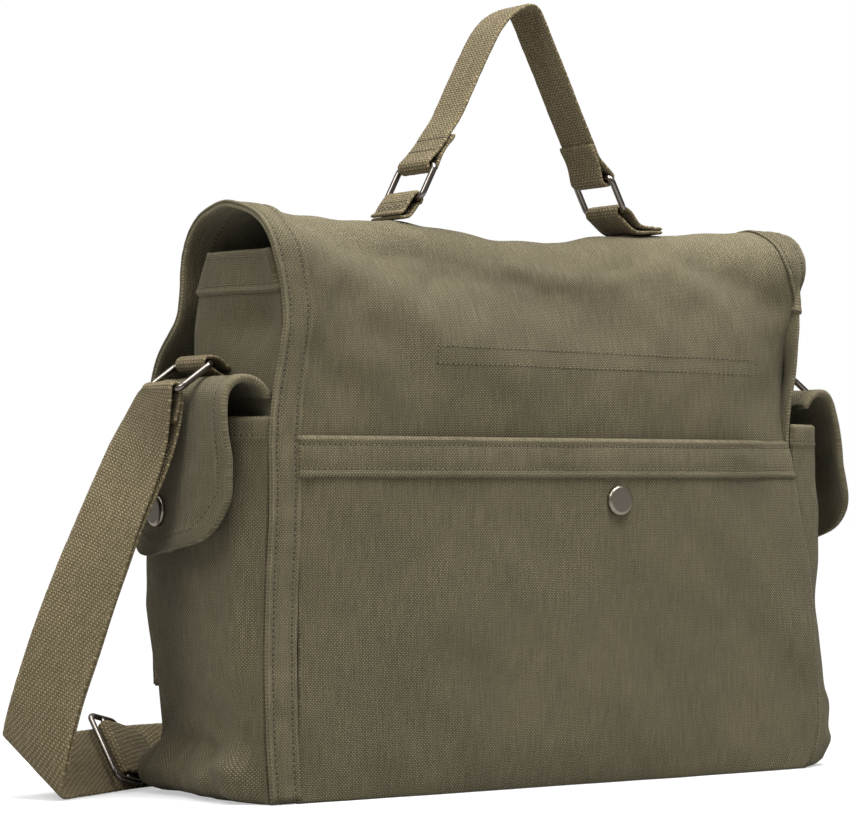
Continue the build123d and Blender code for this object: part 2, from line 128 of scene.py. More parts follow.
class Sheet:
    """A grid of points with a thickness. a and b are the flat coordinates of its columns and rows."""

    def __init__(self, a, b, points, thick=2.0, flip=False, lift=0.0, wear=0.0):
        self.a, self.b = np.asarray(a, float), np.asarray(b, float)
        grid = np.asarray(points, float)
        du = np.gradient(grid, axis=0)
        dv = np.gradient(grid, axis=1)
        self.normal = unit(np.cross(du, dv)) * (-1 if flip else 1)
        self.thick = np.broadcast_to(np.asarray(thick, float), grid.shape[:2])
        self.lift = np.broadcast_to(np.asarray(lift, float), grid.shape[:2])
        self.mid = grid + self.normal * self.lift[..., None]
        self.wear = np.broadcast_to(np.asarray(wear, float), grid.shape[:2])

    def part(self, rows):
        """The same cloth between two row numbers, so that pieces meet along a shared row."""
        piece = object.__new__(Sheet)
        piece.a, piece.b = self.a, self.b[rows]
        for name in ("normal", "thick", "lift", "mid", "wear"):
            setattr(piece, name, getattr(self, name)[:, rows])
        return piece

    def on(self, a, b, side=1, lift=0.0):
        """Points and normals on the outer (1) or inner (-1) face at flat coordinates."""
        fa = np.interp(a, self.a, np.arange(len(self.a)))
        fb = np.interp(b, self.b, np.arange(len(self.b)))
        i = np.clip(fa.astype(int), 0, len(self.a) - 2)
        j = np.clip(fb.astype(int), 0, len(self.b) - 2)
        s, t = (fa - i)[:, None], (fb - j)[:, None]

        def mix(field):
            return ((1 - s) * (1 - t) * field[i, j] + s * (1 - t) * field[i + 1, j]
                    + (1 - s) * t * field[i, j + 1] + s * t * field[i + 1, j + 1])

        normal = unit(mix(self.normal)) * side
        face = mix(self.mid + self.normal * side * (self.thick[..., None] / 2))
        return face + normal * lift, normal


BEAD_SIDES = 6
BEAD_RINGS = ((-0.66, 0.62), (0.0, 1.0), (0.66, 0.62))


class Maker:
    """Collects the points and faces of one piece."""

    def __init__(self):
        self.points, self.faces, self.kinds, self.flat, self.wear = [], [], [], [], []
        self.sharp = []
        self.count = 0

    def add(self, points, faces, kind, flat, wear):
        self.points.append(points)
        self.faces.extend((np.asarray(faces) + self.count).tolist() if len(faces) else [])
        self.kinds.extend([kind] * len(faces))
        self.flat.append(flat)
        self.wear.append(wear)
        self.count += len(points)

    def cloth(self, sheet, kind=0, seams=()):
        """A closed sheet with rounded edges. seams are the sides that meet another piece: a0 a1 b0 b1."""
        nu, nv = sheet.mid.shape[:2]
        half = sheet.thick[..., None] / 2
        outer = sheet.mid + sheet.normal * half
        inner = sheet.mid - sheet.normal * half
        uv = np.stack(np.meshgrid(sheet.a, sheet.b, indexing="ij"), -1) * MM
        index = np.arange(nu * nv).reshape(nu, nv)
        quads = np.stack([index[:-1, :-1], index[1:, :-1], index[1:, 1:], index[:-1, 1:]], -1)
        quads = quads.reshape(-1, 4)
        ring = ([(i, 0) for i in range(nu - 1)] + [(nu - 1, j) for j in range(nv - 1)]
                + [(i, nv - 1) for i in range(nu - 1, 0, -1)] + [(0, j) for j in range(nv - 1, 0, -1)])
        edge, edge_uv, edge_wear = [], [], []
        for i, j in ring:
            out = np.zeros(3)
            if i == 0 and "a0" not in seams:
                out = out + unit(sheet.mid[0, j] - sheet.mid[1, j])
            if i == nu - 1 and "a1" not in seams:
                out = out + unit(sheet.mid[-1, j] - sheet.mid[-2, j])
            if j == 0 and "b0" not in seams:
                out = out + unit(sheet.mid[i, 0] - sheet.mid[i, 1])
            if j == nv - 1 and "b1" not in seams:
                out = out + unit(sheet.mid[i, -1] - sheet.mid[i, -2])
            edge.append(sheet.mid[i, j] + out * sheet.thick[i, j] * 0.36)
            edge_uv.append(uv[i, j])
            edge_wear.append(max(sheet.wear[i, j], 0.3))
        base = self.count
        points = np.concatenate([outer.reshape(-1, 3), inner.reshape(-1, 3), np.array(edge)])
        flat = np.concatenate([uv.reshape(-1, 2), uv.reshape(-1, 2), np.array(edge_uv)])
        wear = np.concatenate([sheet.wear.ravel(), sheet.wear.ravel(), np.array(edge_wear)])
        n = nu * nv
        rim = []
        for k, (i, j) in enumerate(ring):
            i2, j2 = ring[(k + 1) % len(ring)]
            o1, o2, m1, m2 = index[i, j], index[i2, j2], 2 * n + k, 2 * n + (k + 1) % len(ring)
            rim.append([o2, o1, m1, m2])
            rim.append([m2, m1, n + o1, n + o2])
            shared = (("b0" in seams and j == j2 == 0) or ("b1" in seams and j == j2 == nv - 1)
                      or ("a0" in seams and i == i2 == 0) or ("a1" in seams and i == i2 == nu - 1))
            if shared:
                self.sharp.append((base + o1, base + o2))
                self.sharp.append((base + n + o1, base + n + o2))
        faces = np.concatenate([quads, quads[:, ::-1] + n, np.array(rim)])
        self.add(points, faces, kind, flat, wear)

    def beads(self, centres, along, normals, size, kind):
        """Small rounded lumps, such as threads: size is (along, across, up)."""
        if len(centres) == 0:
            return
        side = unit(np.cross(normals, along))
        sides = BEAD_SIDES
        shape = [(-1.0, 0.0, 0.0)]
        for x, r in BEAD_RINGS:
            for k in range(sides):
                turn = k * 2 * math.pi / sides
                shape.append((x, r * math.cos(turn), r * math.sin(turn)))
        shape.append((1.0, 0.0, 0.0))
        shape = np.array(shape)
        faces = []
        last = len(shape) - 1
        for k in range(sides):
            n = (k + 1) % sides
            faces.append([0, 1 + k, 1 + n, 1 + n])
            tip = 1 + 2 * sides
            faces.append([last, tip + n, tip + k, tip + k])
            for row in (1, 1 + sides):
                faces.append([row + k, row + sides + k, row + sides + n, row + n])
        faces = np.array(faces)
        spots = (centres[:, None] + shape[None, :, :1] * size[0] * along[:, None]
                 + shape[None, :, 1:2] * size[1] * side[:, None]
                 + shape[None, :, 2:] * size[2] * normals[:, None])
        every = (faces[None] + np.arange(len(centres))[:, None, None] * len(shape)).reshape(-1, 4)
        flat = np.zeros((len(centres) * len(shape), 2))
        self.add(spots.reshape(-1, 3), every, kind, flat, np.zeros(len(flat)))

    def stitches(self, sheet, line, side=1, pitch=2.7, seed=1, size=(1.0, 0.36, 0.24), closed=False):
        """A row of machine stitches along flat points: threads, with a dark disc of painted shade at each
        needle hole between.
        """
        flat = np.array(line + ([line[0]] if closed else []), float)
        runs = run_of(flat)
        count = max(int(runs[-1] / pitch), 2)
        draw = np.random.RandomState(seed)
        middle = (np.arange(count) + 0.5) * runs[-1] / count
        fore, aft = middle + 0.4, middle - 0.4
        holes = (np.arange(count + 1)) * runs[-1] / count

        def place(s, lift):
            return sheet.on(np.interp(s, runs, flat[:, 0]), np.interp(s, runs, flat[:, 1]), side, lift)

        centre, normal = place(middle, 0.08)
        along = unit(place(fore, 0)[0] - place(aft, 0)[0])
        centre = centre + np.cross(normal, along) * draw.normal(0, 0.10, count)[:, None]
        self.beads(centre, along, normal, size, 1)
        # Flat near-black discs at the needle holes: painted shade for the shadow inside each hole.
        spot, normal = place(holes, 0.0)
        around = unit(place(np.minimum(holes + 0.3, runs[-1]), 0)[0]
                      - place(np.maximum(holes - 0.3, 0), 0)[0])
        self.beads(spot, around, normal, (0.50, 0.44, 0.12), 2)

    def build(self, name, kinds):
        points = np.concatenate(self.points) * MM
        mesh = bpy.data.meshes.new(name)
        faces = [f[:3] if f[2] == f[3] else f for f in self.faces]
        mesh.from_pydata(points.tolist(), [], faces)
        for material in kinds:
            mesh.materials.append(material)
        mesh.polygons.foreach_set("material_index", np.array(self.kinds, np.int32))
        mesh.polygons.foreach_set("use_smooth", np.ones(len(faces), bool))
        layer = mesh.uv_layers.new(name="Weave")
        loops = np.zeros(len(mesh.loops), np.int32)
        mesh.loops.foreach_get("vertex_index", loops)
        layer.data.foreach_set("uv", np.concatenate(self.flat)[loops].astype(np.float32).ravel())
        attribute = mesh.attributes.new("Wear", "FLOAT", "POINT")
        attribute.data.foreach_set("value", np.concatenate(self.wear).astype(np.float32))
        if self.sharp:
            marks = {tuple(sorted((int(p), int(q)))) for p, q in self.sharp}
            ends = np.zeros(len(mesh.edges) * 2, np.int32)
            mesh.edges.foreach_get("vertices", ends)
            flags = [tuple(sorted(pair)) in marks for pair in ends.reshape(-1, 2).tolist()]
            sharp = mesh.attributes.new("sharp_edge", "BOOLEAN", "EDGE")
            sharp.data.foreach_set("value", flags)
        work = bmesh.new()
        work.from_mesh(mesh)
        bmesh.ops.recalc_face_normals(work, faces=work.faces)
        work.to_mesh(mesh)
        work.free()
        piece = bpy.data.objects.new(name, mesh)
        bpy.context.scene.collection.objects.link(piece)
        return piece


def one_sheet(sheet, name, kinds, seams=()):
    """A piece that is a single sheet with nothing sewn on."""
    made = Maker()
    made.cloth(sheet, seams=seams)
    return made.build(name, kinds)


def fix(piece, body, slot, *nodes):
    """A piece that rides on one body in place of CAD nodes."""
    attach(piece, body)
    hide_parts(*nodes)


# ------------------------------------------------------------------ materials


class Nodes:
    """A short way to write a node material."""

    def __init__(self, name):
        self.material = bpy.data.materials.new(name)
        self.material.use_nodes = True
        self.tree = self.material.node_tree
        self.shader = self.tree.nodes["Principled BSDF"]

    def add(self, kind, **settings):
        node = self.tree.nodes.new(kind)
        for key, value in settings.items():
            if key in node.inputs:
                node.inputs[key].default_value = value
            else:
                setattr(node, key, value)
        return node

    def join(self, out, into):
        self.tree.links.new(out, into)

    def sum(self, kind, a, b=None, c=None):
        node = self.tree.nodes.new("ShaderNodeMath")
        node.operation = kind
        for slot, value in zip(node.inputs, (a, b, c)):
            if value is None:
                continue
            if isinstance(value, (int, float)):
                slot.default_value = value
            else:
                self.join(value, slot)
        return node.outputs[0]

    def noise(self, vector, scale, detail=2.0, rough=0.5):
        node = self.tree.nodes.new("ShaderNodeTexNoise")
        node.inputs["Scale"].default_value = scale
        node.inputs["Detail"].default_value = detail
        node.inputs["Roughness"].default_value = rough
        self.join(vector, node.inputs["Vector"])
        return node.outputs["Fac"]

    def mix(self, factor, a, b):
        node = self.tree.nodes.new("ShaderNodeMix")
        node.data_type = "RGBA"
        for slot, value in ((node.inputs["Factor"], factor), (node.inputs[6], a), (node.inputs[7], b)):
            if isinstance(value, tuple):
                slot.default_value = (*value, 1.0)
            elif isinstance(value, (int, float)):
                slot.default_value = value
            else:
                self.join(value, slot)
        return node.outputs[2]


def woven(name, base, dark, light, across, along, depth, wear=0.22, ribs=0.0):
    """Cloth: interlaced yarns as raised dots, coloured by their height so that raised yarns carry a painted
    highlight and the gaps between them painted shade, with uneven yarns, a washed mottle and paler worn
    edges.
    """
    n = Nodes(name)
    flat = n.add("ShaderNodeUVMap", uv_map="Weave").outputs[0]
    place = n.add("ShaderNodeTexCoord").outputs["Object"]
    split = n.add("ShaderNodeSeparateXYZ")
    n.join(flat, split.inputs[0])
    drift = n.sum("MULTIPLY", n.sum("SUBTRACT", n.noise(flat, 420.0), 0.5), 0.00055)
    u = n.sum("ADD", split.outputs[0], drift)
    v = n.sum("ADD", split.outputs[1], drift)
    if ribs:
        u = n.sum("ADD", u, n.sum("MULTIPLY", v, ribs))
    first = n.sum("SINE", n.sum("MULTIPLY", u, 2 * math.pi / across))
    second = n.sum("SINE", n.sum("MULTIPLY", v, 2 * math.pi / along))
    knit = n.sum("MULTIPLY", first, second)
    warp = n.sum("MAXIMUM", knit, 0.0)
    weft = n.sum("MULTIPLY", n.sum("MAXIMUM", n.sum("MULTIPLY", knit, -1.0), 0.0), 0.22)
    height = n.sum("POWER", n.sum("MAXIMUM", warp, weft), 0.7)
    stretch = n.add("ShaderNodeMapping")
    stretch.inputs["Scale"].default_value = (1.0, 0.08, 1.0)
    n.join(flat, stretch.inputs[0])
    slub = n.noise(stretch.outputs[0], 900.0, 3.0)
    fuzz = n.noise(place, 1500.0, 3.0, 0.65)
    patch = n.noise(place, 26.0, 4.0, 0.6)
    cloud = n.noise(place, 7.0, 2.0)
    # Colour follows the weave's height: paler raised yarns are painted highlight and darker gaps between
    # yarns are painted shade; slub and fuzz add the yarns' own uneven tone.
    tone = n.sum("ADD", n.sum("MULTIPLY", height, 0.62), n.sum("MULTIPLY", slub, 0.36))
    tone = n.sum("ADD", tone, n.sum("MULTIPLY", n.sum("SUBTRACT", fuzz, 0.5), 0.35))
    ramp = n.add("ShaderNodeValToRGB")
    ramp.color_ramp.elements[0].position = 0.22
    ramp.color_ramp.elements[0].color = (*dark, 1)
    ramp.color_ramp.elements[1].position = 0.86
    ramp.color_ramp.elements[1].color = (*light, 1)
    middle = ramp.color_ramp.elements.new(0.5)
    middle.color = (*base, 1)
    n.join(tone, ramp.inputs[0])
    worn = n.add("ShaderNodeAttribute", attribute_name="Wear").outputs["Fac"]
    rubbed = n.sum("MULTIPLY", n.sum("MULTIPLY", worn, wear), n.sum("ADD", patch, 0.45))
    colour = n.mix(rubbed, ramp.outputs[0], tuple(min(c * 1.5, 1) for c in light))
    shade = n.sum("ADD", 0.66, n.sum("ADD", n.sum("MULTIPLY", patch, 0.38),
                                     n.sum("MULTIPLY", cloud, 0.30)))
    grey = n.add("ShaderNodeCombineXYZ")
    for socket in grey.inputs:
        n.join(shade, socket)
    tint = n.tree.nodes.new("ShaderNodeMix")
    tint.data_type = "RGBA"
    tint.blend_type = "MULTIPLY"
    tint.inputs["Factor"].default_value = 1.0
    n.join(colour, tint.inputs[6])
    n.join(grey.outputs[0], tint.inputs[7])
    n.join(tint.outputs[2], n.shader.inputs["Base Color"])
    relief = n.sum("ADD", height, n.sum("MULTIPLY", fuzz, 0.25))
    bumps = n.add("ShaderNodeBump", Strength=0.9, Distance=depth)
    n.join(relief, bumps.inputs["Height"])
    n.join(bumps.outputs[0], n.shader.inputs["Normal"])
    rough = n.sum("ADD", 0.84, n.sum("MULTIPLY", patch, 0.12))
    n.join(rough, n.shader.inputs["Roughness"])
    n.shader.inputs["Sheen Weight"].default_value = 0.05
    n.shader.inputs["Sheen Roughness"].default_value = 0.5
    n.shader.inputs["Specular IOR Level"].default_value = 0.16
    return n.material


def plain(name, colour, rough, metal=0.0, grain=600.0, change=0.12, relief=0.00003):
    """Thread, metal and other small things, with a fine uneven surface."""
    n = Nodes(name)
    place = n.add("ShaderNodeTexCoord").outputs["Object"]
    fine = n.noise(place, grain, 3.0)
    dim = tuple(c * (1 - change) for c in colour)
    lit = tuple(min(c * (1 + change), 1) for c in colour)
    n.join(n.mix(fine, dim, lit), n.shader.inputs["Base Color"])
    n.join(n.sum("ADD", rough - 0.04, n.sum("MULTIPLY", n.noise(place, grain / 5, 2.0), 0.1)),
           n.shader.inputs["Roughness"])
    bumps = n.add("ShaderNodeBump", Strength=0.5, Distance=relief)
    n.join(fine, bumps.inputs["Height"])
    n.join(bumps.outputs[0], n.shader.inputs["Normal"])
    n.shader.inputs["Metallic"].default_value = metal
    return n.material


# Each cloth's dark and light colours set the painted shade in the weave's gaps and the painted highlight on
# its raised yarns.
CANVAS = woven("canvas_olive", (0.146, 0.124, 0.073), (0.064, 0.054, 0.030), (0.262, 0.229, 0.145),
               0.00165, 0.00165, 0.00035)
WEBBING = woven("webbing_olive", (0.196, 0.155, 0.084), (0.078, 0.060, 0.030), (0.31, 0.257, 0.150),
                0.0024, 0.0028, 0.00055, ribs=0.35)
LINING = woven("pocket_cloth", (0.120, 0.104, 0.066), (0.080, 0.068, 0.042), (0.17, 0.15, 0.10),
               0.0011, 0.0011, 0.00015)
TAPE = woven("zip_tape_cloth", (0.10, 0.088, 0.056), (0.06, 0.052, 0.032), (0.15, 0.135, 0.09),
             0.0009, 0.0009, 0.00012)
THREAD = plain("thread", (0.120, 0.102, 0.062), 0.8, grain=2500.0, change=0.3)
# Near-black colour for the discs at the needle holes: painted shade, standing in for the shadow inside each
# hole.
HOLE_SHADE = plain("needle_hole_shade", (0.020, 0.017, 0.011), 0.95, grain=900.0)
SNAP_METAL = plain("snap_nickel", (0.27, 0.235, 0.19), 0.30, 1.0, grain=350.0, change=0.08)
RING_METAL = plain("wire_nickel", (0.19, 0.17, 0.15), 0.16, 1.0, grain=220.0, change=0.10)
ZIP_METAL = plain("zip_brass", (0.36, 0.31, 0.21), 0.36, 1.0, grain=350.0, change=0.1)
CLOTH = [CANVAS, THREAD, HOLE_SHADE]
WEB = [WEBBING, THREAD, HOLE_SHADE]

# ------------------------------------------------------------------ the long cloth
# One cloth runs up the back, over the top as the flap, and down the front.

HALF = 168.0
LONG = through([(49, 1), (49, 60), (49, 120), (49, 180), (49, 215), (48.8, 232), (46, 250),
                (39, 266), (26, 276.5), (8, 280), (-10, 276.5), (-22, 268), (-26.6, 259),
                (-28.6, 248), (-29.8, 227), (-36, 213), (-44, 203.5), (-51.5, 192), (-55, 178),
                (-55.5, 150), (-55.5, 98), (-55.5, 50)])
LONG_END = LONG[0][-1]
NEAR_EDGE = [(0, 167), (8, 167.8), (150, 168), (170, 167.6), (186, 165.8), (208, 162), (231, 161.4),
             (250, 163.6), (268, 166.2), (300, 167.6), (LONG_END, 167.6)]
FAR_EDGE = [(0, 159), (4, 163), (10, 165.6), (43, 167), (82, 162.6), (110, 160), (137, 154.4), (160, 151.4),
            (175, 151.6), (191, 153.6), (204, 156.4), (222, 158.6), (243, 162), (258, 165), (300, 167),
            (322, 165.5), (350, 160.5), (395, 158.5), (440, 160), (LONG_END, 163)]
FAR_BACK = [(0, 0), (110, 0), (150, 2), (170, 6), (191, 13), (204, 16), (216, 13), (231, 6), (250, 1),
            (265, 0), (LONG_END, 0)]
CREST = [(-168, -2.2), (-150, -2.6), (-124, -4.0), (-90, -4.8), (-72, -5.0), (-57, -7.0), (-31, -11.2),
         (-8, -12.6), (8, -12.8), (31, -10.4), (49, -7.0), (65, -4.4), (85, -4.4), (108, -5.8),
         (126, -5.8), (150, -4.6), (168, -3.6)]


# Creases of the roll: height, start, end, width
FLAP_CREASES = [(3.4, (158, 268), (28, 196), 17), (-2.6, (118, 276), (6, 232), 15),
                (-2.4, (70, 276), (-34, 226), 15), (1.6, (30, 268), (-84, 246), 13),
                (2.2, (-62, 276), (-140, 208), 16), (-2.2, (-92, 276), (-160, 226), 12),
                (-1.8, (160, 214), (120, 186), 10)]


def ridge(x, s, start, end, width):
    """How close a place on the cloth is to a fold line between two flat points."""
    a, b = np.array(start, float), np.array(end, float)
    d = b - a
    t = np.clip(((x - a[0]) * d[0] + (s - a[1]) * d[1]) / (d @ d), 0, 1)
    off = np.hypot(x - a[0] - t * d[0], s - a[1] - t * d[1])
    fade = smooth(t, 0, 0.2) * (1 - 0.6 * smooth(t, 0.6, 1))
    return np.exp(-((off / width) ** 2)) * (0.25 + 0.75 * fade)


def long_place(x, s):
    """A point of the long cloth's middle, from its flat coordinates."""
    y, z = at(LONG, s)
    y2, z2 = at(LONG, np.minimum(s + 0.5, LONG_END))
    y1, z1 = at(LONG, np.maximum(s - 0.5, 0))
    run = np.maximum(np.hypot(y2 - y1, z2 - z1), 1e-6)
    out_y, out_z = (z2 - z1) / run, -(y2 - y1) / run
    back = (1 - smooth(s, 345, 385))
    soft = smooth(s, 150, 215) * back
    out = 1.1 * waves(x, s, 150, 3) * soft + 0.5 * waves(x, s, 60, 4) * soft
    out = out + 0.25 * waves(x, s, 26, 5) * (0.35 + soft)
    for height, start, end, width in FLAP_CREASES:
        out = out + height * ridge(x, s, start, end, width)
    ends = smooth(np.abs(x), 112, 160)
    out = out - 8.0 * smooth(s, 198, 252) * (1 - smooth(s, 262, 300)) * (1 - 0.85 * ends)
    out = out + 3.0 * ends * bell(s, 268, 17)
    front = smooth(s, 350, 400)
    out = out + (0.9 * waves(x, s, 110, 6) + 1.2 * bell(x, 0, 60)) * front * 0.7 * (1 - bell(z, 72, 24))
    out = out + 7.0 * smooth(x, 84, 160) * bell(z, 208, 24) * front
    y = y + out_y * out
    z = z + out_z * out
    z = z + knots(x, CREST) * smooth(z, 236, 276) * (1 - 0.25 * smooth(s, 310, 345))
    near, far = smooth(x, 96, HALF), smooth(-x, 96, HALF)
    wide = x - (HALF - knots(s, NEAR_EDGE)) * near + (HALF - knots(s, FAR_EDGE)) * far
    turned = 1.2 * np.log1p(np.exp((-x - 153) / 1.2))
    reach = knots(s, FAR_EDGE) + 0.6
    flat_x = -x - turned
    panel = np.where(flat_x > 96, 96 + (flat_x - 96) * (reach - 96) / (153 - 96), flat_x)
    round_corner = (1 - smooth(s, 232, 270)) * (x < -90)
    wide = wide * (1 - round_corner) - (panel + 0.26 * turned) * round_corner
    y = y - 0.96 * turned * round_corner
    y = y - knots(s, FAR_BACK) * smooth(-x, 112, HALF)
    wide = wide + 0.5 * waves(s, 0 * s, 60, 8) * (near - far) * smooth(s, 20, 60)
    return np.stack([wide, y, z], -1)


def spread(columns, rows, place, **facts):
    """A sheet whose flat grid is put in place by a function."""
    a, b = np.meshgrid(columns, rows, indexing="ij")
    return Sheet(columns, rows, place(a, b), **facts)


columns = np.concatenate([np.linspace(-HALF, -150, 8), np.linspace(-146, 146, 85),
                          np.linspace(150, HALF, 8)])
rows = np.linspace(0, LONG_END, 188)
# Where the cloth is cut into two pieces, measured along it: at the front fold
FOLD_AT = 343  # how far along the cloth the two flap pieces meet
EDGE_STITCH = 155
FOLD_ROW = int(np.argmin(abs(rows - FOLD_AT)))
edge_wear = smooth(np.abs(columns), 164, 168)[:, None] * 0.6 + 0 * rows[None]
outer_wear = 0.4 + 0.6 * smooth(np.abs(columns), 60, 150)
edge_wear = edge_wear + 0.5 * bell(rows, 290, 26)[None] * outer_wear[:, None]
long_cloth = spread(columns, rows, long_place, thick=CLOTH_THICK, flip=True, wear=edge_wear)

make = Maker()
back_part = long_cloth.part(slice(0, FOLD_ROW + 1))
make.cloth(back_part, seams=("b1",))
BAR = [(74.5, 203.6), (-126, 202.2), (-126, 209.6), (74.5, 211.8)]
make.stitches(back_part, BAR, seed=11, size=(0.95, 0.4, 0.3), closed=True)
for side in (-1, 1):
    line = [(side * EDGE_STITCH, 238), (side * EDGE_STITCH, rows[FOLD_ROW])]
    make.stitches(back_part, line, -1, seed=15)
back_cloth = make.build("back_and_flap_top_cloth", CLOTH)
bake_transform(back_cloth)
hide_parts("back_panel", "flap_top")

make = Maker()
front_part = long_cloth.part(slice(FOLD_ROW, None))
make.cloth(front_part, seams=("b0",))
for seed, up in ((16, 7.5), (17, 2.5)):
    make.stitches(front_part, [(-151, LONG_END - up), (151, LONG_END - up)], seed=seed)
for side in (-1, 1):
    line = [(side * EDGE_STITCH, rows[FOLD_ROW]), (side * EDGE_STITCH, LONG_END - 8)]
    make.stitches(front_part, line, -1, seed=18)
front_cloth = make.build("flap_front_cloth", CLOTH)
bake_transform(front_cloth)
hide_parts("flap_front", "flap_hem_band")

# Edge bands: one sewn strip along each side edge, from the floor over the top to the flap's end
BAND = 15.5
BAND_LIFT = 1.55


def band_sheet(side):
    """The strip along one edge, puffed between its two rows of stitches."""
    inward = np.array([0, 0.35, 1.0, 1.9, 2.7, 3.5, 5.0, 7.0, 9.0, 11.0, 12.2, 12.9, 13.6, 14.5,
                       15.2, BAND])
    across = side * (HALF + 0.3 - inward)
    order = np.argsort(across)
    across, inward = across[order], inward[order]
    down = np.linspace(1.5, LONG_END - 0.5, 330)
    a, s = np.meshgrid(across, down, indexing="ij")
    base = Sheet(across, down, long_place(np.clip(a, -HALF, HALF), s)
                 + np.stack([a - np.clip(a, -HALF, HALF), 0 * a, 0 * a], -1), flip=True)
    groove = bell(inward, 2.9, 0.8) + bell(inward, 12.7, 0.8)
    puff = 0.25 * bell(inward, 7.8, 3.6) + 0.30 * bell(inward, 0.8, 0.9) + 0.2 * bell(inward, 14.8, 0.7)
    pucker = 0.16 * waves(s, a * 0.4, 9, 31 + side) + 0.10 * waves(s, a, 4.5, 33 + side)
    lift = BAND_LIFT + (puff - 0.42 * groove)[:, None] / 2 + pucker * 0.5
    thick = 1.2 + (puff - 0.42 * groove)[:, None] + 0 * s
    wear = (0.75 * bell(inward, 0.3, 0.9) + 0.55 * bell(inward, 15.0, 0.8) + 0.22 * bell(inward, 7.8, 4)
            )[:, None] + 0.12 * waves(s, a, 30, 35)
    return Sheet(across, down, base.mid, thick, flip=True, lift=lift, wear=np.clip(wear, 0, 1))


def band_piece(sheet, low, high, name, seams, seed):
    """One length of an edge band, with its two rows of stitches."""
    part = sheet.part(slice(low, high))
    made = Maker()
    made.cloth(part, seams=seams)
    side = 1 if sheet.a[-1] > 0 else -1
    for k, inward in enumerate((2.9, 12.7)):
        x = side * (HALF + 0.3 - inward)
        line = [(x, part.b[0] + 1.3), (x, part.b[-1] - 1.3)]
        made.stitches(part, line, seed=seed + k, size=(0.92, 0.40, 0.26))
    return made.build(name, CLOTH)


back_bands, flap_bands = [], []
for side, label in ((1, "right"), (-1, "left")):
    strip = band_sheet(side)
    cut = int(np.argmin(abs(strip.b - FOLD_AT)))
    top = band_piece(strip, 0, cut + 1, f"edge_band_{label}", ("b1",), 40 + side)
    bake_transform(top)
    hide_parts(f"back_edge_band_{label}")
    low_part = band_piece(strip, cut, len(strip.b), f"flap_edge_band_{label}", ("b0",), 44 + side)
    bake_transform(low_part)
    back_bands.append(top)
    flap_bands.append(low_part)
    if side > 0:
        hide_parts("flap_top_edge_bands")
        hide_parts("flap_front_edge_bands")

# ------------------------------------------------------------------ back slip pocket


def pocket_place(x, z):
    """A point of the slip pocket, plump in the middle and calm about its snap."""
    rise = knots(z, [(0, 0.0), (2, 0.1), (14, 0.42), (40, 0.72), (90, 0.92), (139, 1.0), (152, 0.98),
                     (170, 0.80)])
    calm = 1 - np.exp(-(((x + 29.5) / 30) ** 2 + ((z - 139) / 22) ** 2))
    y = 50.5 + 6.1 * (1 - np.clip(np.abs(x) / np.where(x > 0, 154, 163), 0, 1) ** 3.2) * rise
    y = y + (0.5 * waves(x, z, 120, 51) + 0.35 * waves(x, z, 45, 52)) * calm
    far = smooth(-x, 112, 156)
    y = y - knots(z, [(0, 0), (110, 0), (150, 2), (168, 6.0)]) * far
    reach = (knots(z, FAR_EDGE) - 1.0 - 90) / (162.6 - 90)
    return np.stack([np.where(x < -90, -90 + (x + 90) * reach, x + 0 * z), y, z], -1)


columns = np.linspace(-162.6, 153.4, 98)
rows = np.concatenate([[0.8, 1.6, 2.8], np.linspace(5, 150.5, 58), [152, 153]])
pocket = spread(columns, rows, pocket_place, thick=2.0, flip=True)
pocket_piece = one_sheet(pocket, "slip_pocket_cloth", CLOTH)
fix(pocket_piece, "bag", "canvas", "back_pocket_panel")

rows = np.array([151.2, 151.6, 152.4, 153.4, 154.2, 155.2, 157, 159, 161, 163, 164.6, 165.4, 166.2, 167,
                 167.7, 168.2])
low_edge = rows - rows[0]
groove = bell(low_edge, 3.0, 0.8) + bell(low_edge, 14.2, 0.8)
puff = 0.5 * bell(low_edge, 8.5, 4.0) + 0.55 * bell(low_edge, 0.7, 0.9) + 0.3 * bell(low_edge, 16.5, 0.8)
a, z = np.meshgrid(columns, rows, indexing="ij")
hem = Sheet(columns, rows, pocket_place(a, z), 3.6 + (puff - 0.5 * groove)[None] + 0 * a, flip=True,
            lift=0.4 + 0.12 * waves(a, z, 8, 53), wear=np.clip(0.3 * bell(low_edge, 0.5, 1.0)
            + 0.3 * bell(low_edge, 16.6, 0.9) + 0.1, 0, 1)[None] + 0 * a)
make = Maker()
make.cloth(hem)
for seed, up in ((55, 3.0), (56, 14.2)):
    make.stitches(hem, [(-161, rows[0] + up), (152, rows[0] + up)], seed=seed)
hem_piece = make.build("slip_pocket_hem", CLOTH)
fix(hem_piece, "bag", "canvas", "back_pocket_hem")

# ------------------------------------------------------------------ bag shell: gussets and front
FRONT = [(0, -49), (95, -49), (140, -37.5), (190, -23.5), (206, -23.5), (221, -23), (238, -18), (256, -7.6)]
BACK = [(0, 47.2), (215, 47.2), (228, 47), (240, 44.8), (249, 42.2), (255, 39.8), (257, 39)]
CORNERS = [(0, 13), (120, 13), (190, 7), (256, 5)]
GUSSET_POINTS, CORNER_POINTS, FRONT_POINTS = 26, 7, 44
SHELL_POINTS = 2 * (GUSSET_POINTS + CORNER_POINTS) + FRONT_POINTS


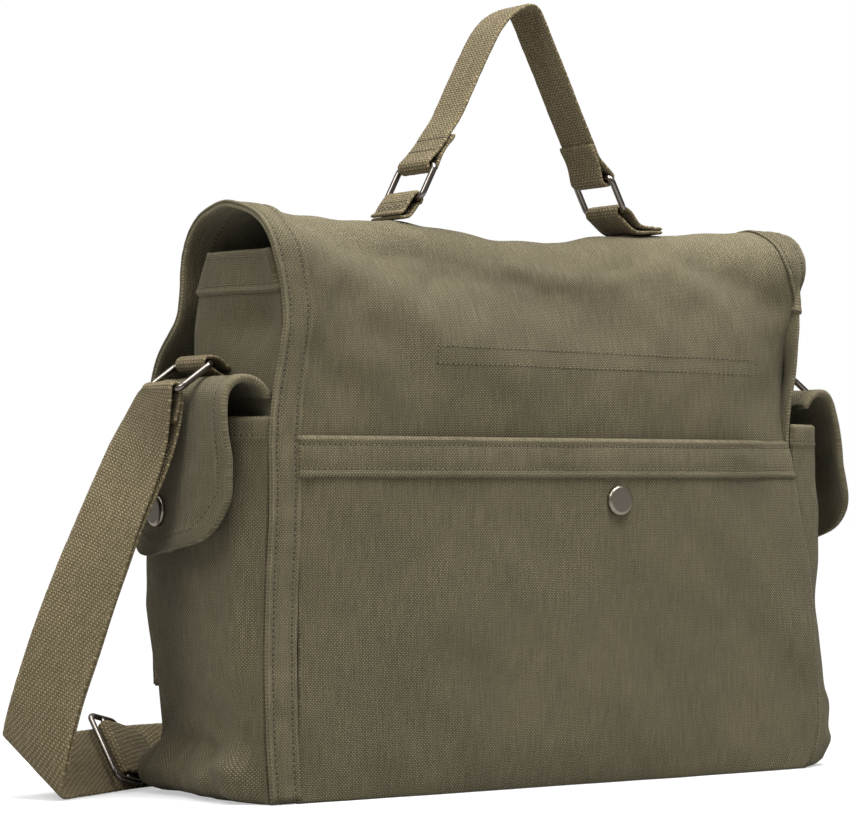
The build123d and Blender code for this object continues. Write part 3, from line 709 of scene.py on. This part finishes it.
def shell_line(z, side_x, far_x):
    """The way round the bag at one height, from the near back edge to the far back edge."""
    front = float(straight(z, FRONT))
    back = float(straight(z, BACK))
    inset = 4.0 * (1 - smooth(z, 0.5, 7))
    corner = float(straight(z, CORNERS))
    ahead = 167.0 - inset

    def side(x, y):
        return x - inset + (ahead + inset - x) * float(smooth(back - y, 4, 40))

    right = [(side(side_x, y), y) for y in np.linspace(back, front + corner, GUSSET_POINTS)]
    turn = [(ahead - corner * (1 - math.cos(t)), front + inset + corner * (1 - math.sin(t)))
            for t in np.linspace(0.15, math.pi / 2 - 0.1, CORNER_POINTS)]
    across = [(x, front + inset)
              for x in np.linspace(ahead - corner - 6, 6 + corner - ahead, FRONT_POINTS)]
    left = [(-ahead + corner * (1 - math.cos(t)), front + inset + corner * (1 - math.sin(t)))
            for t in np.linspace(math.pi / 2 - 0.1, 0.15, CORNER_POINTS)]
    end = [(-side(far_x, y), y) for y in np.linspace(front + corner, back, GUSSET_POINTS)]
    return np.array(right + turn + across + left + end)


SHELL_ROWS = np.concatenate([[0.6, 1.6, 3.2, 5.5, 8], np.linspace(12, 236, 66), np.linspace(238, 256, 9)])
near_x = knots(SHELL_ROWS, NEAR_EDGE) - 1.6
far_x = knots(SHELL_ROWS, FAR_EDGE) - 1.6
shell = np.stack([np.concatenate([shell_line(z, n, f), np.full((SHELL_POINTS, 1), z)], 1)
                  for z, n, f in zip(SHELL_ROWS, near_x, far_x)], 1)
gap = np.linalg.norm(np.diff(shell[:, 20], axis=0), axis=1)  # at one height in the middle
SHELL_COLUMNS = np.concatenate([[0], np.cumsum(np.maximum(gap, 0.5))])
y, z = shell[..., 1], shell[..., 2]
gusset = np.zeros(shell.shape[:2])
gusset[:GUSSET_POINTS + 4] = 1  # each gusset and a little round its front corner
gusset[-GUSSET_POINTS - 4:] = -1
middle = (y - straight(z, FRONT)) / 70
deep = np.clip(middle, 0, 1) * np.clip((47 - y) / 16, 0, 1)
deep = smooth(deep, 0, 1)
fold = 7.5 * bell(z, 223 + 0.10 * (y - 10), 11) + 3.0 * smooth(z, 226, 250) - 1.5 * bell(z, 196, 12)
fold = fold + 1.4 * waves(y, z, 60, 61) + 0.6 * waves(y, z, 25, 62)
shell[..., 0] -= gusset * deep * fold
body = (1 - np.abs(gusset)) * smooth(z, 10, 60) * (1 - smooth(z, 230, 250))
shell[..., 1] += body * (1.0 * waves(shell[..., 0], z, 130, 63) + 1.0)
shell_sheet = Sheet(SHELL_COLUMNS, SHELL_ROWS, shell, CLOTH_THICK, flip=True)
shell_piece = one_sheet(shell_sheet, "bag_shell_cloth", CLOTH)
fix(shell_piece, "bag", "canvas", "gusset_right", "gusset_left", "front_panel")

hem_rows = np.array([237.4, 237.9, 238.8, 240, 241.4, 243, 246, 249, 251.4, 252.6, 254, 255.2,
                     256.2, 256.8])
fractions = np.interp(hem_rows, SHELL_ROWS, np.arange(len(SHELL_ROWS)))
lower = np.clip(fractions.astype(int), 0, len(SHELL_ROWS) - 2)
share = np.clip(fractions - lower, 0, 1.1)[None, :, None]
mouth = shell[:, lower] * (1 - share) + shell[:, lower + 1] * share
grow = (4.8 + 0.6 * bell(hem_rows, 238.2, 1.0) - 0.6 * bell(hem_rows, 240.4, 0.9)
        - 0.5 * bell(hem_rows, 253.4, 0.9))
mouth_sheet = Sheet(SHELL_COLUMNS, hem_rows, mouth, grow[None] + 0 * mouth[..., 0],
                    flip=True, lift=0.2,
                    wear=(0.55 * bell(hem_rows, 256.5, 1.6) + 0.5 * bell(hem_rows, 237.9, 0.9))[None]
                    + 0 * mouth[..., 0])
make = Maker()
make.cloth(mouth_sheet)
ends = (SHELL_COLUMNS[1], SHELL_COLUMNS[-2])
for seed, up in ((64, 240.4), (65, 253.6)):
    make.stitches(mouth_sheet, [(ends[0], up), (ends[1], up)], seed=seed)
mouth_piece = make.build("mouth_hem", CLOTH)
fix(mouth_piece, "bag", "canvas", "mouth_facing")

columns, rows = np.linspace(-162, 162, 60), np.linspace(-46, 46, 20)
a, b = np.meshgrid(columns, rows, indexing="ij")
rise = (1.2 + 0.3 * (1 + waves(a, b, 90, 66)) + 2.0 * smooth(np.abs(a), 154, 162)
        + 2.0 * smooth(np.abs(b), 40, 46))
base_sheet = Sheet(columns, rows, np.stack([a, b, rise], -1), CLOTH_THICK)
base_piece = one_sheet(base_sheet, "base_cloth", CLOTH)
fix(base_piece, "bag", "canvas", "base_panel")

# ------------------------------------------------------------------ side pockets and their flaps
SIDE_BULGE = [(0, 8.0), (3, 12.0), (9, 14.6), (16, 12.4), (27, 5.4), (40, 4.6), (55, 7.4), (75, 9.6),
              (95, 11.0), (130, 11.6), (160, 11.0), (177, 12.0)]
POCKET_FRONT = [(0, -46), (6, -49), (16, -49.5), (30, -44), (44, -46), (60, -48), (90, -50), (125, -49),
                (150, -40), (178, -27)]
POCKET_ROUND = [(0, 9), (8, 6), (16, 7), (30, 20), (42, 20), (60, 11), (90, 8), (178, 9)]
# Creases at the pocket's foot: height, start, end, width
POCKET_CREASES = [(2.6, (44, 10), (8, 34), 4.5), (-2.4, (40, 20), (-2, 26), 4.0),
                  (2.0, (46, 30), (20, 52), 5.0), (-1.8, (30, 4), (12, 22), 3.6),
                  (1.8, (-38, 6), (-8, 40), 5.0), (-1.6, (-44, 26), (-20, 44), 4.5)]
FAR_POCKET = [(0, 176), (7, 180), (15, 182), (43, 180), (66, 176), (82, 173), (110, 175.4), (137, 174.4),
              (177, 172.6)]


def side_pocket(side):
    """A puffed pocket on one end, hemmed along its top."""
    label = "right" if side > 0 else "left"
    across = np.linspace(0, 1, 60)
    rows = np.concatenate([[0.0, 1.2, 2.4, 4, 6, 8], np.linspace(10.5, 60, 24), np.linspace(63, 158, 34),
                           [161, 164, 166.4, 167.4, 168.2, 169.2, 170.4, 172, 174, 175.6, 176.6, 177.2]])
    t, z = np.meshgrid(across, rows, indexing="ij")
    front = straight(z, POCKET_FRONT)
    back = 47.4 + 0 * z
    y = back + (front - back) * t
    soft = straight(z, POCKET_ROUND)
    plump = smooth(back - y, -1, 15 if side > 0 else 6) * smooth((y - front) / soft, -0.1, 1)
    edge = (knots(rows, NEAR_EDGE) if side > 0 else knots(rows, FAR_EDGE))[None]
    bulge = knots(z, SIDE_BULGE) if side > 0 else knots(z, FAR_POCKET) - edge
    out = plump * bulge
    folds = 1.1 * waves(y, z, 52, 71 + side) + 0.5 * waves(y, z, 24, 73 + side)
    low = 1 - smooth(z, 12, 62)
    creases = 0.0
    for height, start, end, width in POCKET_CREASES:
        creases = creases + height * ridge(y, z, start, end, width)
    creases = creases + 1.0 * waves(y, z, 17, 75 + side) * low
    out = out + plump * (folds * (0.5 + 0.5 * low) + creases * (0.35 + 0.65 * low))
    out = np.maximum(out, 0.4)
    under = 1 - smooth(z, 0, 4)
    x = edge - 0.4 + out * (1 - 0.35 * under)
    z = np.maximum(z, 0.9) + 0.5 * plump * (1 - smooth(z, 0, 8)) * (1 + waves(y, z, 30, 77))
    hemmed = smooth(rows, 166.6, 168)[None] + 0 * z
    thick = 2.0 + 1.1 * hemmed + 0.4 * bell(rows, 168, 1.0)[None] - 0.4 * bell(rows, 169.5, 0.8)[None]
    grid = np.stack([side * x, y, z], -1)
    steps = np.linalg.norm(np.diff(grid[:, ::4], axis=0), axis=2).mean(1)
    flat = np.concatenate([[0], np.cumsum(steps)])
    sheet = Sheet(flat, rows, grid, thick, flip=side > 0,
                  wear=(0.7 * bell(rows, 177, 1.5) + 0.25 * bell(rows, 168, 1.0))[None]
                  + 0.35 * (1 - smooth(z, 2, 12)) + 0 * z)
    made = Maker()
    made.cloth(sheet)
    made.stitches(sheet, [(1, 169.6), (flat[-1] - 1, 169.6)], seed=81 + side)
    piece = made.build(f"side_pocket_cloth_{label}", CLOTH)
    fix(piece, "bag", "canvas", f"side_pocket_{label}")


SIDE_FLAP = through([(167.6, 187.6), (169.4, 190.8), (172.6, 194.2), (177.2, 196.2), (182.6, 195.4),
                     (186.8, 191.4), (189.0, 184.5), (189.7, 165), (190.1, 140), (190.9, 116.5)])
SIDE_FLAP_END = SIDE_FLAP[0][-1]
FLAP_CORNER = 24.0
FLAP_RIM = [0, 0.7, 1.6, 2.8, 4.2, 5.4, 6.2, 7.0, 8.0, 9.0]


def side_flap(side):
    """The round-cornered flap that hangs over one side pocket."""
    label = "right" if side > 0 else "left"
    edge = np.concatenate([FLAP_RIM, np.linspace(11, 43, 13)])
    across = np.concatenate([-(43 - edge), (43 - edge[::-1])[1:]])
    rows = SIDE_FLAP_END - np.concatenate([FLAP_RIM, np.linspace(11.5, SIDE_FLAP_END, 52)])[::-1]
    a, s = np.meshgrid(across, rows, indexing="ij")
    left = SIDE_FLAP_END - s
    arc = FLAP_CORNER - np.sqrt(np.maximum(FLAP_CORNER**2 - (FLAP_CORNER - left) ** 2, 0))
    half = 43 - np.where(left < FLAP_CORNER, arc, 0)
    half_front = half - 19 * (1 - smooth(s, 6, 44))
    y = np.where(a < 0, a / 43 * half_front, a / 43 * (half + 0.5 + 3.0 * (1 - smooth(s, 0, 30))))
    x, z = at(SIDE_FLAP, s)
    z = z + 0.15 * (y - 1) * (1 - smooth(z, 122, 168))
    hang = smooth(s, 34, 60)
    calm = 1 - np.exp(-(((y + 13) / 16) ** 2 + ((z - 134.5) / 16) ** 2))
    x = x + hang * calm * (0.7 * waves(y, s, 60, 91 + side) + 0.3 * waves(y, s, 25, 93 + side))
    x = x - hang * 2.8 * smooth(np.abs(y), 24, 45) * calm
    if side < 0:
        flare = smooth(y, 2, 40)
        x = x + 9.0 * flare * (1 - smooth(z, 118, 188)) - 4.0 * flare * bell(z, 190, 16)
    z = z + (1 - hang) * (0.8 * waves(y, s, 50, 95 + side) - 1.2 * smooth(-y, -5, 25))
    to_edge = np.where(a < 0, (1 + a / 43) * half_front, (1 - a / 43) * half)
    to_edge = np.minimum(to_edge, left)
    band = 1 - smooth(to_edge, 7.4, 8.6)
    groove = bell(to_edge, 6.4, 0.8)
    thick = 2.4 + 1.1 * band - 0.5 * groove + 0.3 * bell(to_edge, 2.5, 2.5)
    grid = np.stack([side * x, y, z], -1)
    wear = 0.4 * bell(to_edge, 0, 1.4) + 0.2 * bell(to_edge, 8, 0.8) + 0.3 * bell(s, 24, 10)
    wear = np.clip(wear, 0, 1)
    sheet = Sheet(across, rows, grid, thick, flip=side > 0, lift=0.2 * band, wear=wear)
    made = Maker()
    made.cloth(sheet)
    last = SIDE_FLAP_END - 6.5
    path = [(36.5, 4), (36.5, last - 16)]
    path = path + [(36.5 - 4 * k, last - 16 + 16 * math.sin(k / 4 * math.pi / 2)) for k in (1, 2, 3, 4)]
    path = path + [(x0, last) for x0 in (10, 0, -10)]
    path = path + [(-36.5 + 4 * k, last - 16 + 16 * math.sin(k / 4 * math.pi / 2)) for k in (4, 3, 2, 1)]
    path = path + [(-36.5, last - 16), (-36.5, 30)]
    made.stitches(sheet, path, seed=97 + side)
    piece = made.build(f"side_flap_cloth_{label}", CLOTH)
    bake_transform(piece)
    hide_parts(f"side_flap_root_{label}", f"side_pocket_flap_{label}",
                f"side_flap_binding_{label}")


for side in (1, -1):
    side_pocket(side)
    side_flap(side)

# ------------------------------------------------------------------ webbing: tabs, handle, strap


def selvedge_of(a, wide, fade):
    """1 at a web's two woven edges, falling off inwards."""
    return np.exp(-np.minimum(a, wide - a) / fade)


def ribbon(path, low, high, thick):
    """Webbing that follows a path in XZ and has its width along Y, with firm woven edges."""
    line = through(path, 900)
    rows = np.linspace(0, line[0][-1], max(int(line[0][-1] / 1.6), 12))
    across = np.concatenate([[0, 0.5, 1.2], np.linspace(2.2, high - low - 2.2, 7),
                             [high - low - 1.2, high - low - 0.5, high - low]])
    a, s = np.meshgrid(across, rows, indexing="ij")
    x, z = at(line, s)
    grid = np.stack([x, low + a, z], -1)
    selvedge = selvedge_of(a, high - low, 0.9)
    body = thick * (1 - 0.25 * selvedge) + 0.10 * waves(a, s, 5, 101)
    return Sheet(across, rows, grid, body, wear=0.15 + 0.5 * selvedge)


def round_bar(centre, start, end, radius, steps=7):
    """Points on a circle about a bar, from one angle to another, in degrees."""
    turns = np.radians(np.linspace(start, end, steps))
    return [(centre[0] + radius * math.cos(t), centre[1] + radius * math.sin(t)) for t in turns]


HANDLE_Y = (-7.5, 17.5)


def tab(side):
    """The short web that holds a handle ring to the flap's top."""
    label = "right" if side > 0 else "left"
    eye = (63.5, 286.5)

    def top_of(x):
        return float(long_place(np.array([side * x]), np.array([302.0]))[0, 2]) + 1.0

    if side > 0:
        path = [(73.4, top_of(73) + 1.0), (70.6, top_of(70) + 1.2), (67.4, top_of(67) + 2.6)]
        path = path + round_bar(eye, 262, 70, 2.9) + [(68.4, 284.6), (71.4, top_of(71) + 4.4),
                                                      (73.6, top_of(73) + 3.0)]
    else:
        path = [(90.0, top_of(90) + 1.0), (84.0, top_of(84) + 1.1), (73.0, top_of(73) + 1.5)]
        path = path + round_bar(eye, 256, 78, 2.9) + [(70.0, 286.6), (76.0, top_of(76) + 4.6),
                                                      (84.0, top_of(84) + 3.1), (90.0, top_of(90) + 2.9)]
    sheet = ribbon([(side * x, z) for x, z in path], *HANDLE_Y, 1.9)
    made = Maker()
    made.cloth(sheet)
    total = sheet.b[-1]
    face = 1 if sheet.normal[6, -3, 2] > 0 else -1
    zigzag = []
    for k in range(13):
        zigzag.append((1.2 + k * 1.9, total - (2.4 if k % 2 else 6.0)))
    made.stitches(sheet, zigzag, face, pitch=2.2, seed=111 + side, size=(1.0, 0.42, 0.34))
    made.stitches(sheet, [(1.5, total - 8.0), (23.5, total - 8.0)], face, pitch=2.2, seed=113 + side)
    piece = made.build(f"handle_tab_web_{label}", WEB)
    fix(piece, "flap_top", "webbing", f"handle_tab_{label}")


for side in (1, -1):
    tab(side)

bar = (54.5, 303.5)
tail = [(41.9, 318.5), (45.2, 314.1), (48.8, 309.3)]
far_tail = [(-49.0, 309.6), (-46.6, 314.6), (-44.2, 319.2)]
down = round_bar(bar, 212, 392, 2.9, 8)
middle = [(49.6, 312.4), (44.8, 318.8), (40.6, 324.4), (36.4, 330.6), (27.6, 347.5), (19.2, 363),
          (12.8, 373.6), (5.5, 381.4), (-2, 385.8), (-7, 387.3), (-11, 385.4), (-14.8, 379.4),
          (-19, 371), (-27, 356), (-35.8, 338.5), (-41, 328.6), (-45.2, 320.6), (-49.6, 312.8)]
left_turn = [(-x, z) for x, z in round_bar(bar, 212, 392, 3.9, 8)[::-1]]
path = tail + down + middle + left_turn + far_tail
sheet = ribbon(path, *HANDLE_Y, 2.0)
from_end = np.minimum(sheet.b, sheet.b[-1] - sheet.b)
sheet.thick = sheet.thick * (1 + 0.5 * (1 - smooth(from_end, 2.6, 4))[None])
make = Maker()
make.cloth(sheet)
x_at = sheet.mid[6, :, 0]
z_at = sheet.mid[6, :, 2]
for side in (1, -1):
    rows_here = np.where((x_at * side > 20) & (np.abs(z_at - 322) < 30))[0]
    outer = rows_here[(rows_here > 20) & (rows_here < len(x_at) - 20)]
    for height in (311.0, 317.6):
        row = outer[np.argmin(abs(z_at[outer] - height))]
        face = 1 if sheet.normal[6, row, 2] > 0 else -1
        line = [(0.8, sheet.b[row]), (24.2, sheet.b[row])]
        make.stitches(sheet, line, face, pitch=2.3, seed=121 + side, size=(0.95, 0.4, 0.32))
handle_piece = make.build("handle_web", WEB)
fix(handle_piece, "handle", "webbing", "handle_strap")


def strap_tab(side):
    """The short web that holds a strap ring to the bag's end."""
    label = "right" if side > 0 else "left"
    eye = (180.0, 203.5)
    path = [(168.6, 201.0), (173.0, 205.0), (177.2, 206.4)] + round_bar(eye, 85, -115, 2.9)
    path = path + [(174.6, 198.6), (169.4, 196.0)]
    sheet = ribbon([(side * x, z) for x, z in path], -10.5, 14.5, 1.9)
    piece = one_sheet(sheet, f"strap_tab_web_{label}", WEB)
    fix(piece, "bag", "webbing", f"strap_tab_{label}")


for side in (1, -1):
    strap_tab(side)

# Shoulder strap as pairs of edge points, (near or lower edge, far or upper edge)
STRAP_WIDE = 38
over_bar = [((198 + 2.9 * math.cos(t), 14.9, 191 + 2.9 * math.sin(t)),
             (198 + 2.9 * math.cos(t), -10.6, 191 + 2.9 * math.sin(t)))
            for t in np.radians([205, 170, 130, 90, 50, 15])]
STRAP_TAIL = [((197.6, 13.9, 176.0), (198.6, -17.0, 176.0)), ((196.0, 14.6, 184.0), (196.2, -12.6, 184.0))]
UPPER = STRAP_TAIL + over_bar + [
    ((201.0, 14.4, 184), (201.0, -15.0, 189)), ((201.6, 12.6, 168), (204.4, -23.6, 176)),
    ((203.8, 10.6, 155), (209.6, -26.4, 165)), ((207.6, 8.6, 142), (215.0, -27.8, 153)),
    ((212.8, 6.0, 127), (221.4, -29.8, 138)), ((216.6, 3.0, 112), (227.2, -32.4, 123)),
    ((219.8, 0.4, 99), (232.6, -34.0, 110)), ((226.6, -6.0, 71.6), (241.8, -38.4, 83)),
    ((232.4, -12.6, 46.6), (247.2, -45.4, 58)), ((235.0, -16.6, 31), (249.8, -49.6, 43)),
    ((236.6, -20.6, 14), (250.6, -52.6, 33.6))]
LEAN = (0.0, -26.9, 26.9)
FOOT = [(211, -37.5), (199.5, -43.5), (190, -48.5), (170, -57), (143, -61.5), (100, -63.5), (40, -64.5),
        (-40, -63), (-100, -64.5), (-143, -61.5), (-172, -55), (-196, -46), (-211, -39)]
RUN = [((236.0, -24.2, 4.0), (249.4, -55.2, 29.4)), ((231.6, -28.0, 1.0), (244.0, -57.2, 27.6)),
       ((222.0, -32.8, 0.9), (230.0, -59.8, 27.4))]
FOLD_BACK = [tuple((-x, y, z) for x, y, z in pair) for pair in RUN[::-1]]
RUN = RUN + [((x, y, 0.9), (x + LEAN[0], y + LEAN[1], 0.9 + LEAN[2])) for x, y in FOOT] + FOLD_BACK


def mirrored(pairs):
    """The left-hand strap, which hangs closer to the bag than the right-hand one."""
    return [tuple((-p[0] + tuck(p[2]), p[1], p[2]) for p in pair) for pair in pairs[::-1]]


def tuck(z):
    """How far the left-hand strap is drawn in at a height."""
    return float(12.0 * (1 - smooth(z, 140, 174)) * (0.3 + 0.7 * smooth(z, 14, 60)))


def between_edges(joined):
    """The strap's grid from a line of paired edge points."""
    share = (STRAP_COLUMNS / STRAP_WIDE)[:, None, None]
    return joined[None, :, :3] * (1 - share) + joined[None, :, 3:] * share


def blend_strap(piece, side, label):
    """Bakes the strap piece's placement into its mesh."""
    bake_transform(piece)


pairs = np.array(UPPER + RUN + mirrored(UPPER), float)
_, joined = through(pairs.reshape(len(pairs), 6), 1500)
STRAP_COLUMNS = np.concatenate([[0, 0.5, 1.3], np.linspace(2.6, 35.4, 11), [36.7, 37.5, STRAP_WIDE]])
grid = between_edges(joined)
runs = run_of(grid[len(STRAP_COLUMNS) // 2])
strap_rows = np.linspace(0, runs[-1], 900)
pick = np.interp(strap_rows, runs, np.arange(len(runs)))
low_pick = np.clip(pick.astype(int), 0, len(runs) - 2)
part_pick = (pick - low_pick)[None, :, None]
grid = grid[:, low_pick] * (1 - part_pick) + grid[:, low_pick + 1] * part_pick
a, s = np.meshgrid(STRAP_COLUMNS, strap_rows, indexing="ij")
selvedge = selvedge_of(a, STRAP_WIDE, 1.0)
lift = 0.35 * waves(s, a, 70, 131) * np.sin(np.pi * a / STRAP_WIDE)
body = 2.1 * (1 - 0.25 * selvedge) + 0.12 * waves(s, a, 6, 132)
strap = Sheet(STRAP_COLUMNS, strap_rows, grid, body, lift=lift, wear=0.15 + 0.5 * selvedge)
centre = strap.mid[len(STRAP_COLUMNS) // 2]
right_cut = int(np.argmax((centre[:, 2] < 22) & (strap_rows > 60)))
left_cut = len(strap_rows) - right_cut


def strap_piece(rows_used, name, seams):
    """One length of the outer strap."""
    piece = one_sheet(strap.part(rows_used), name, WEB, seams)
    strap.part(rows_used)
    return piece


run_piece = strap_piece(slice(right_cut, left_cut), "strap_floor_web", ("b0", "b1"))
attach(run_piece, "bag")
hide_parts("strap_floor_run_right", "strap_floor_run_front", "strap_floor_run_left")
for side, label, used, seams in ((1, "right", slice(0, right_cut + 1), ("b1",)),
                                 (-1, "left", slice(left_cut - 1, None), ("b0",))):
    piece = strap_piece(used, f"strap_web_{label}", seams)
    blend_strap(piece, side, label)
    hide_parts(f"strap_upper_{label}")

# The strap's inner layer, which comes back from the ring and lies under the outer one
INNER = [((195.0, 14.8, 190.0), (195.0, -10.8, 190.0)), ((194.4, 14.4, 184), (194.6, -13.6, 186)),
         ((195.2, 13.4, 174), (198.0, -20.6, 179)), ((197.2, 12.0, 164), (203.0, -25.6, 172)),
         ((200.6, 10.0, 152), (208.6, -27.4, 162)), ((205.6, 7.6, 139), (214.0, -28.8, 150)),
         ((211.2, 4.8, 124), (221.2, -31.4, 135)), ((215.8, 1.6, 108), (227.8, -33.8, 119)),
         ((220.4, -2.8, 90), (234.2, -36.6, 101)), ((225.4, -8.0, 68), (240.6, -40.8, 79)),
         ((230.4, -13.8, 46), (245.6, -46.8, 57)), ((233.2, -18.0, 28), (248.0, -50.8, 41)),
         ((234.4, -21.6, 14), (248.4, -53.4, 33))]
for side, label in ((1, "right"), (-1, "left")):
    inner = np.array(INNER, float)
    if side < 0:
        inner[..., 0] = [[tuck(p[2]) - p[0] for p in pair] for pair in inner]
    _, joined = through(inner.reshape(len(inner), 6), 90)
    lengths = run_of((joined[:, :3] + joined[:, 3:]) / 2)
    a, s = np.meshgrid(STRAP_COLUMNS, lengths, indexing="ij")
    selvedge = selvedge_of(a, STRAP_WIDE, 1.0)
    sheet = Sheet(STRAP_COLUMNS, lengths, between_edges(joined), 2.0 * (1 - 0.25 * selvedge),
                  wear=0.15 + 0.5 * selvedge)
    piece = one_sheet(sheet, f"strap_inner_web_{label}", WEB)
    blend_strap(piece, side, label)

# ------------------------------------------------------------------ adjuster's web
lean = math.radians(45)
long_way = np.array([0.0, -math.sin(lean), math.cos(lean)])
short_way = np.array([190 - 211, -48.5 + 37.5, 0.0])
short_way = unit(short_way / np.linalg.norm(short_way) - long_way * (unit(short_way) @ long_way))
run_normal = np.cross(short_way, long_way)
ADJUSTER = np.array([189.0, -49.0, 3.0]) + long_way * 19 + run_normal * 4.6
loop = [(26, -2.6), (20, -2.2), (13, -1.9), (6, -2.2)] + [
    (2.5 * math.cos(t), 2.5 * math.sin(t)) for t in np.radians(np.linspace(250, 110, 6))] + [
    (6, 2.4), (12, 2.0), (19, 0.9), (26, -0.5)]
lengths, line = through(loop, 60)
across_web = np.concatenate([[-15.5, -15, -14.2], np.linspace(-13, 13, 8), [14.2, 15, 15.5]])
a, s = np.meshgrid(across_web, lengths, indexing="ij")
px, py = at((lengths, line), s)
grid = (ADJUSTER + a[..., None] * long_way + px[..., None] * short_way + py[..., None] * run_normal)
web_sheet = Sheet(across_web, lengths, grid, 1.7, wear=0.2 + 0 * a)
web_piece = one_sheet(web_sheet, "adjuster_web", WEB)
fix(web_piece, "strap_adjuster", "webbing", "adjuster_loop")

# ------------------------------------------------------------------ inner pocket
make = Maker()
for low, high in ((92.0, 190.5), (197.5, 208.0)):
    columns, rows = np.linspace(-118, 71, 60), np.linspace(low, high, 30 if low < 100 else 8)
    a, b = np.meshgrid(columns, rows, indexing="ij")
    rim = np.minimum(np.minimum(a + 118, 71 - a), b - 92 if low < 100 else 208 - b)
    y = 47.2 - 4.6 * smooth(rim, 0, 5) + 0.5 * waves(a, b, 50, 141) * smooth(rim, 4, 14) * (b < 180)
    make.cloth(Sheet(columns, rows, np.stack([a, y, b], -1), 1.0))
pocket_piece = make.build("inner_pocket_cloth", [LINING])
fix(pocket_piece, "bag", "lining", "inner_pocket")

# ------------------------------------------------------------------ finishes of the CAD's own parts
FINISHES = (("snap", SNAP_METAL), ("ring", RING_METAL), ("strap_adjuster", RING_METAL),
            ("zip_tape", TAPE), ("zip", ZIP_METAL))
for name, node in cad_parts.items():
    for key, material in FINISHES:
        if key in name:
            for index in range(len(node.material_slots)):
                node.material_slots[index].material = material
            break

# ------------------------------------------------------------------ floor, light and camera
floor_mesh = bpy.data.meshes.new("floor")
floor_mesh.from_pydata([(-6, -6, 0), (6, -6, 0), (6, 6, 0), (-6, 6, 0)], [], [(0, 1, 2, 3)])
floor = bpy.data.objects.new("floor", floor_mesh)
bpy.context.scene.collection.objects.link(floor)
floor_look = Nodes("floor_white")
floor_ray = floor_look.add("ShaderNodeLightPath").outputs["Is Camera Ray"]
floor_look.join(floor_look.mix(floor_ray, (0.42, 0.42, 0.42), (0.9, 0.9, 0.9)),
                floor_look.shader.inputs["Base Color"])
floor_look.shader.inputs["Roughness"].default_value = 0.95
away = floor_look.add("ShaderNodeVectorMath", operation="LENGTH")
floor_look.join(floor_look.add("ShaderNodeTexCoord").outputs["Object"], away.inputs[0])
fade = floor_look.add("ShaderNodeMapRange", interpolation_type="SMOOTHSTEP")
floor_look.join(away.outputs["Value"], fade.inputs["Value"])
fade.inputs["From Min"].default_value = 0.22
fade.inputs["From Max"].default_value = 0.42
fade.inputs["To Min"].default_value = 0.45
seen_here = floor_look.sum("MULTIPLY", fade.outputs["Result"], floor_ray)
glow = floor_look.add("ShaderNodeEmission")
glow.inputs["Color"].default_value = (1.0, 1.0, 1.0, 1.0)
glow.inputs["Strength"].default_value = 1.05
both = floor_look.add("ShaderNodeMixShader")
floor_look.join(seen_here, both.inputs[0])
floor_look.join(floor_look.shader.outputs[0], both.inputs[1])
floor_look.join(glow.outputs[0], both.inputs[2])
floor_look.join(both.outputs[0], floor_look.tree.nodes["Material Output"].inputs["Surface"])
floor_mesh.materials.append(floor_look.material)

AMBIENT = 0.30
world = bpy.data.worlds.new("studio")
bpy.context.scene.world = world
world.use_nodes = True
nodes, links = world.node_tree.nodes, world.node_tree.links
sky = nodes["Background"]
sky.inputs[0].default_value = (1.0, 1.0, 1.0, 1.0)
height = nodes.new("ShaderNodeSeparateXYZ")
sky_place = nodes.new("ShaderNodeTexCoord")
sky_level = nodes.new("ShaderNodeMapRange")
for slot, value in (("From Min", -0.1), ("From Max", 0.9), ("To Min", 0.45 * AMBIENT),
                    ("To Max", 2.0 * AMBIENT)):
    sky_level.inputs[slot].default_value = value
links.new(sky_place.outputs["Generated"], height.inputs[0])
links.new(height.outputs["Z"], sky_level.inputs["Value"])
links.new(sky_level.outputs["Result"], sky.inputs["Strength"])
seen = nodes.new("ShaderNodeBackground")
seen.inputs[0].default_value = (1.0, 1.0, 1.0, 1.0)
split_light = nodes.new("ShaderNodeMixShader")
path_node = nodes.new("ShaderNodeLightPath")
links.new(path_node.outputs["Is Camera Ray"], split_light.inputs[0])
links.new(sky.outputs[0], split_light.inputs[1])
links.new(seen.outputs[0], split_light.inputs[2])
links.new(split_light.outputs[0], nodes["World Output"].inputs["Surface"])
bpy.context.scene.view_settings.view_transform = "Standard"

TARGET = Vector((0.0, 0.0, 0.16))


def lamp(name, place, size, power):
    """A white area light aimed at the bag."""
    light = bpy.data.lights.new(name, "AREA")
    light.shape = "RECTANGLE"
    light.size, light.size_y = size
    light.energy = power
    holder = bpy.data.objects.new(name, light)
    holder.location = place
    holder.rotation_euler = (TARGET - Vector(place)).to_track_quat("-Z", "Y").to_euler()
    bpy.context.scene.collection.objects.link(holder)


lamp("key", (-0.3, 0.85, 2.4), (1.0, 0.9), 58.0)
lamp("top", (0.1, 0.1, 2.3), (1.6, 1.6), 52.0)
lamp("near_side", (1.6, 0.45, 1.75), (0.9, 0.9), 22.0)

camera_data = bpy.data.cameras.new("camera")
camera_data.lens = 129.2
camera_data.sensor_width = 36.0
camera_data.sensor_fit = "HORIZONTAL"
camera = bpy.data.objects.new("camera", camera_data)
camera.location = (0.9208, 1.2413, 0.1456)
camera.rotation_euler = Vector((-0.5763, -0.8168, 0.0258)).to_track_quat("-Z", "Y").to_euler()
bpy.context.scene.collection.objects.link(camera)
bpy.context.scene.camera = camera
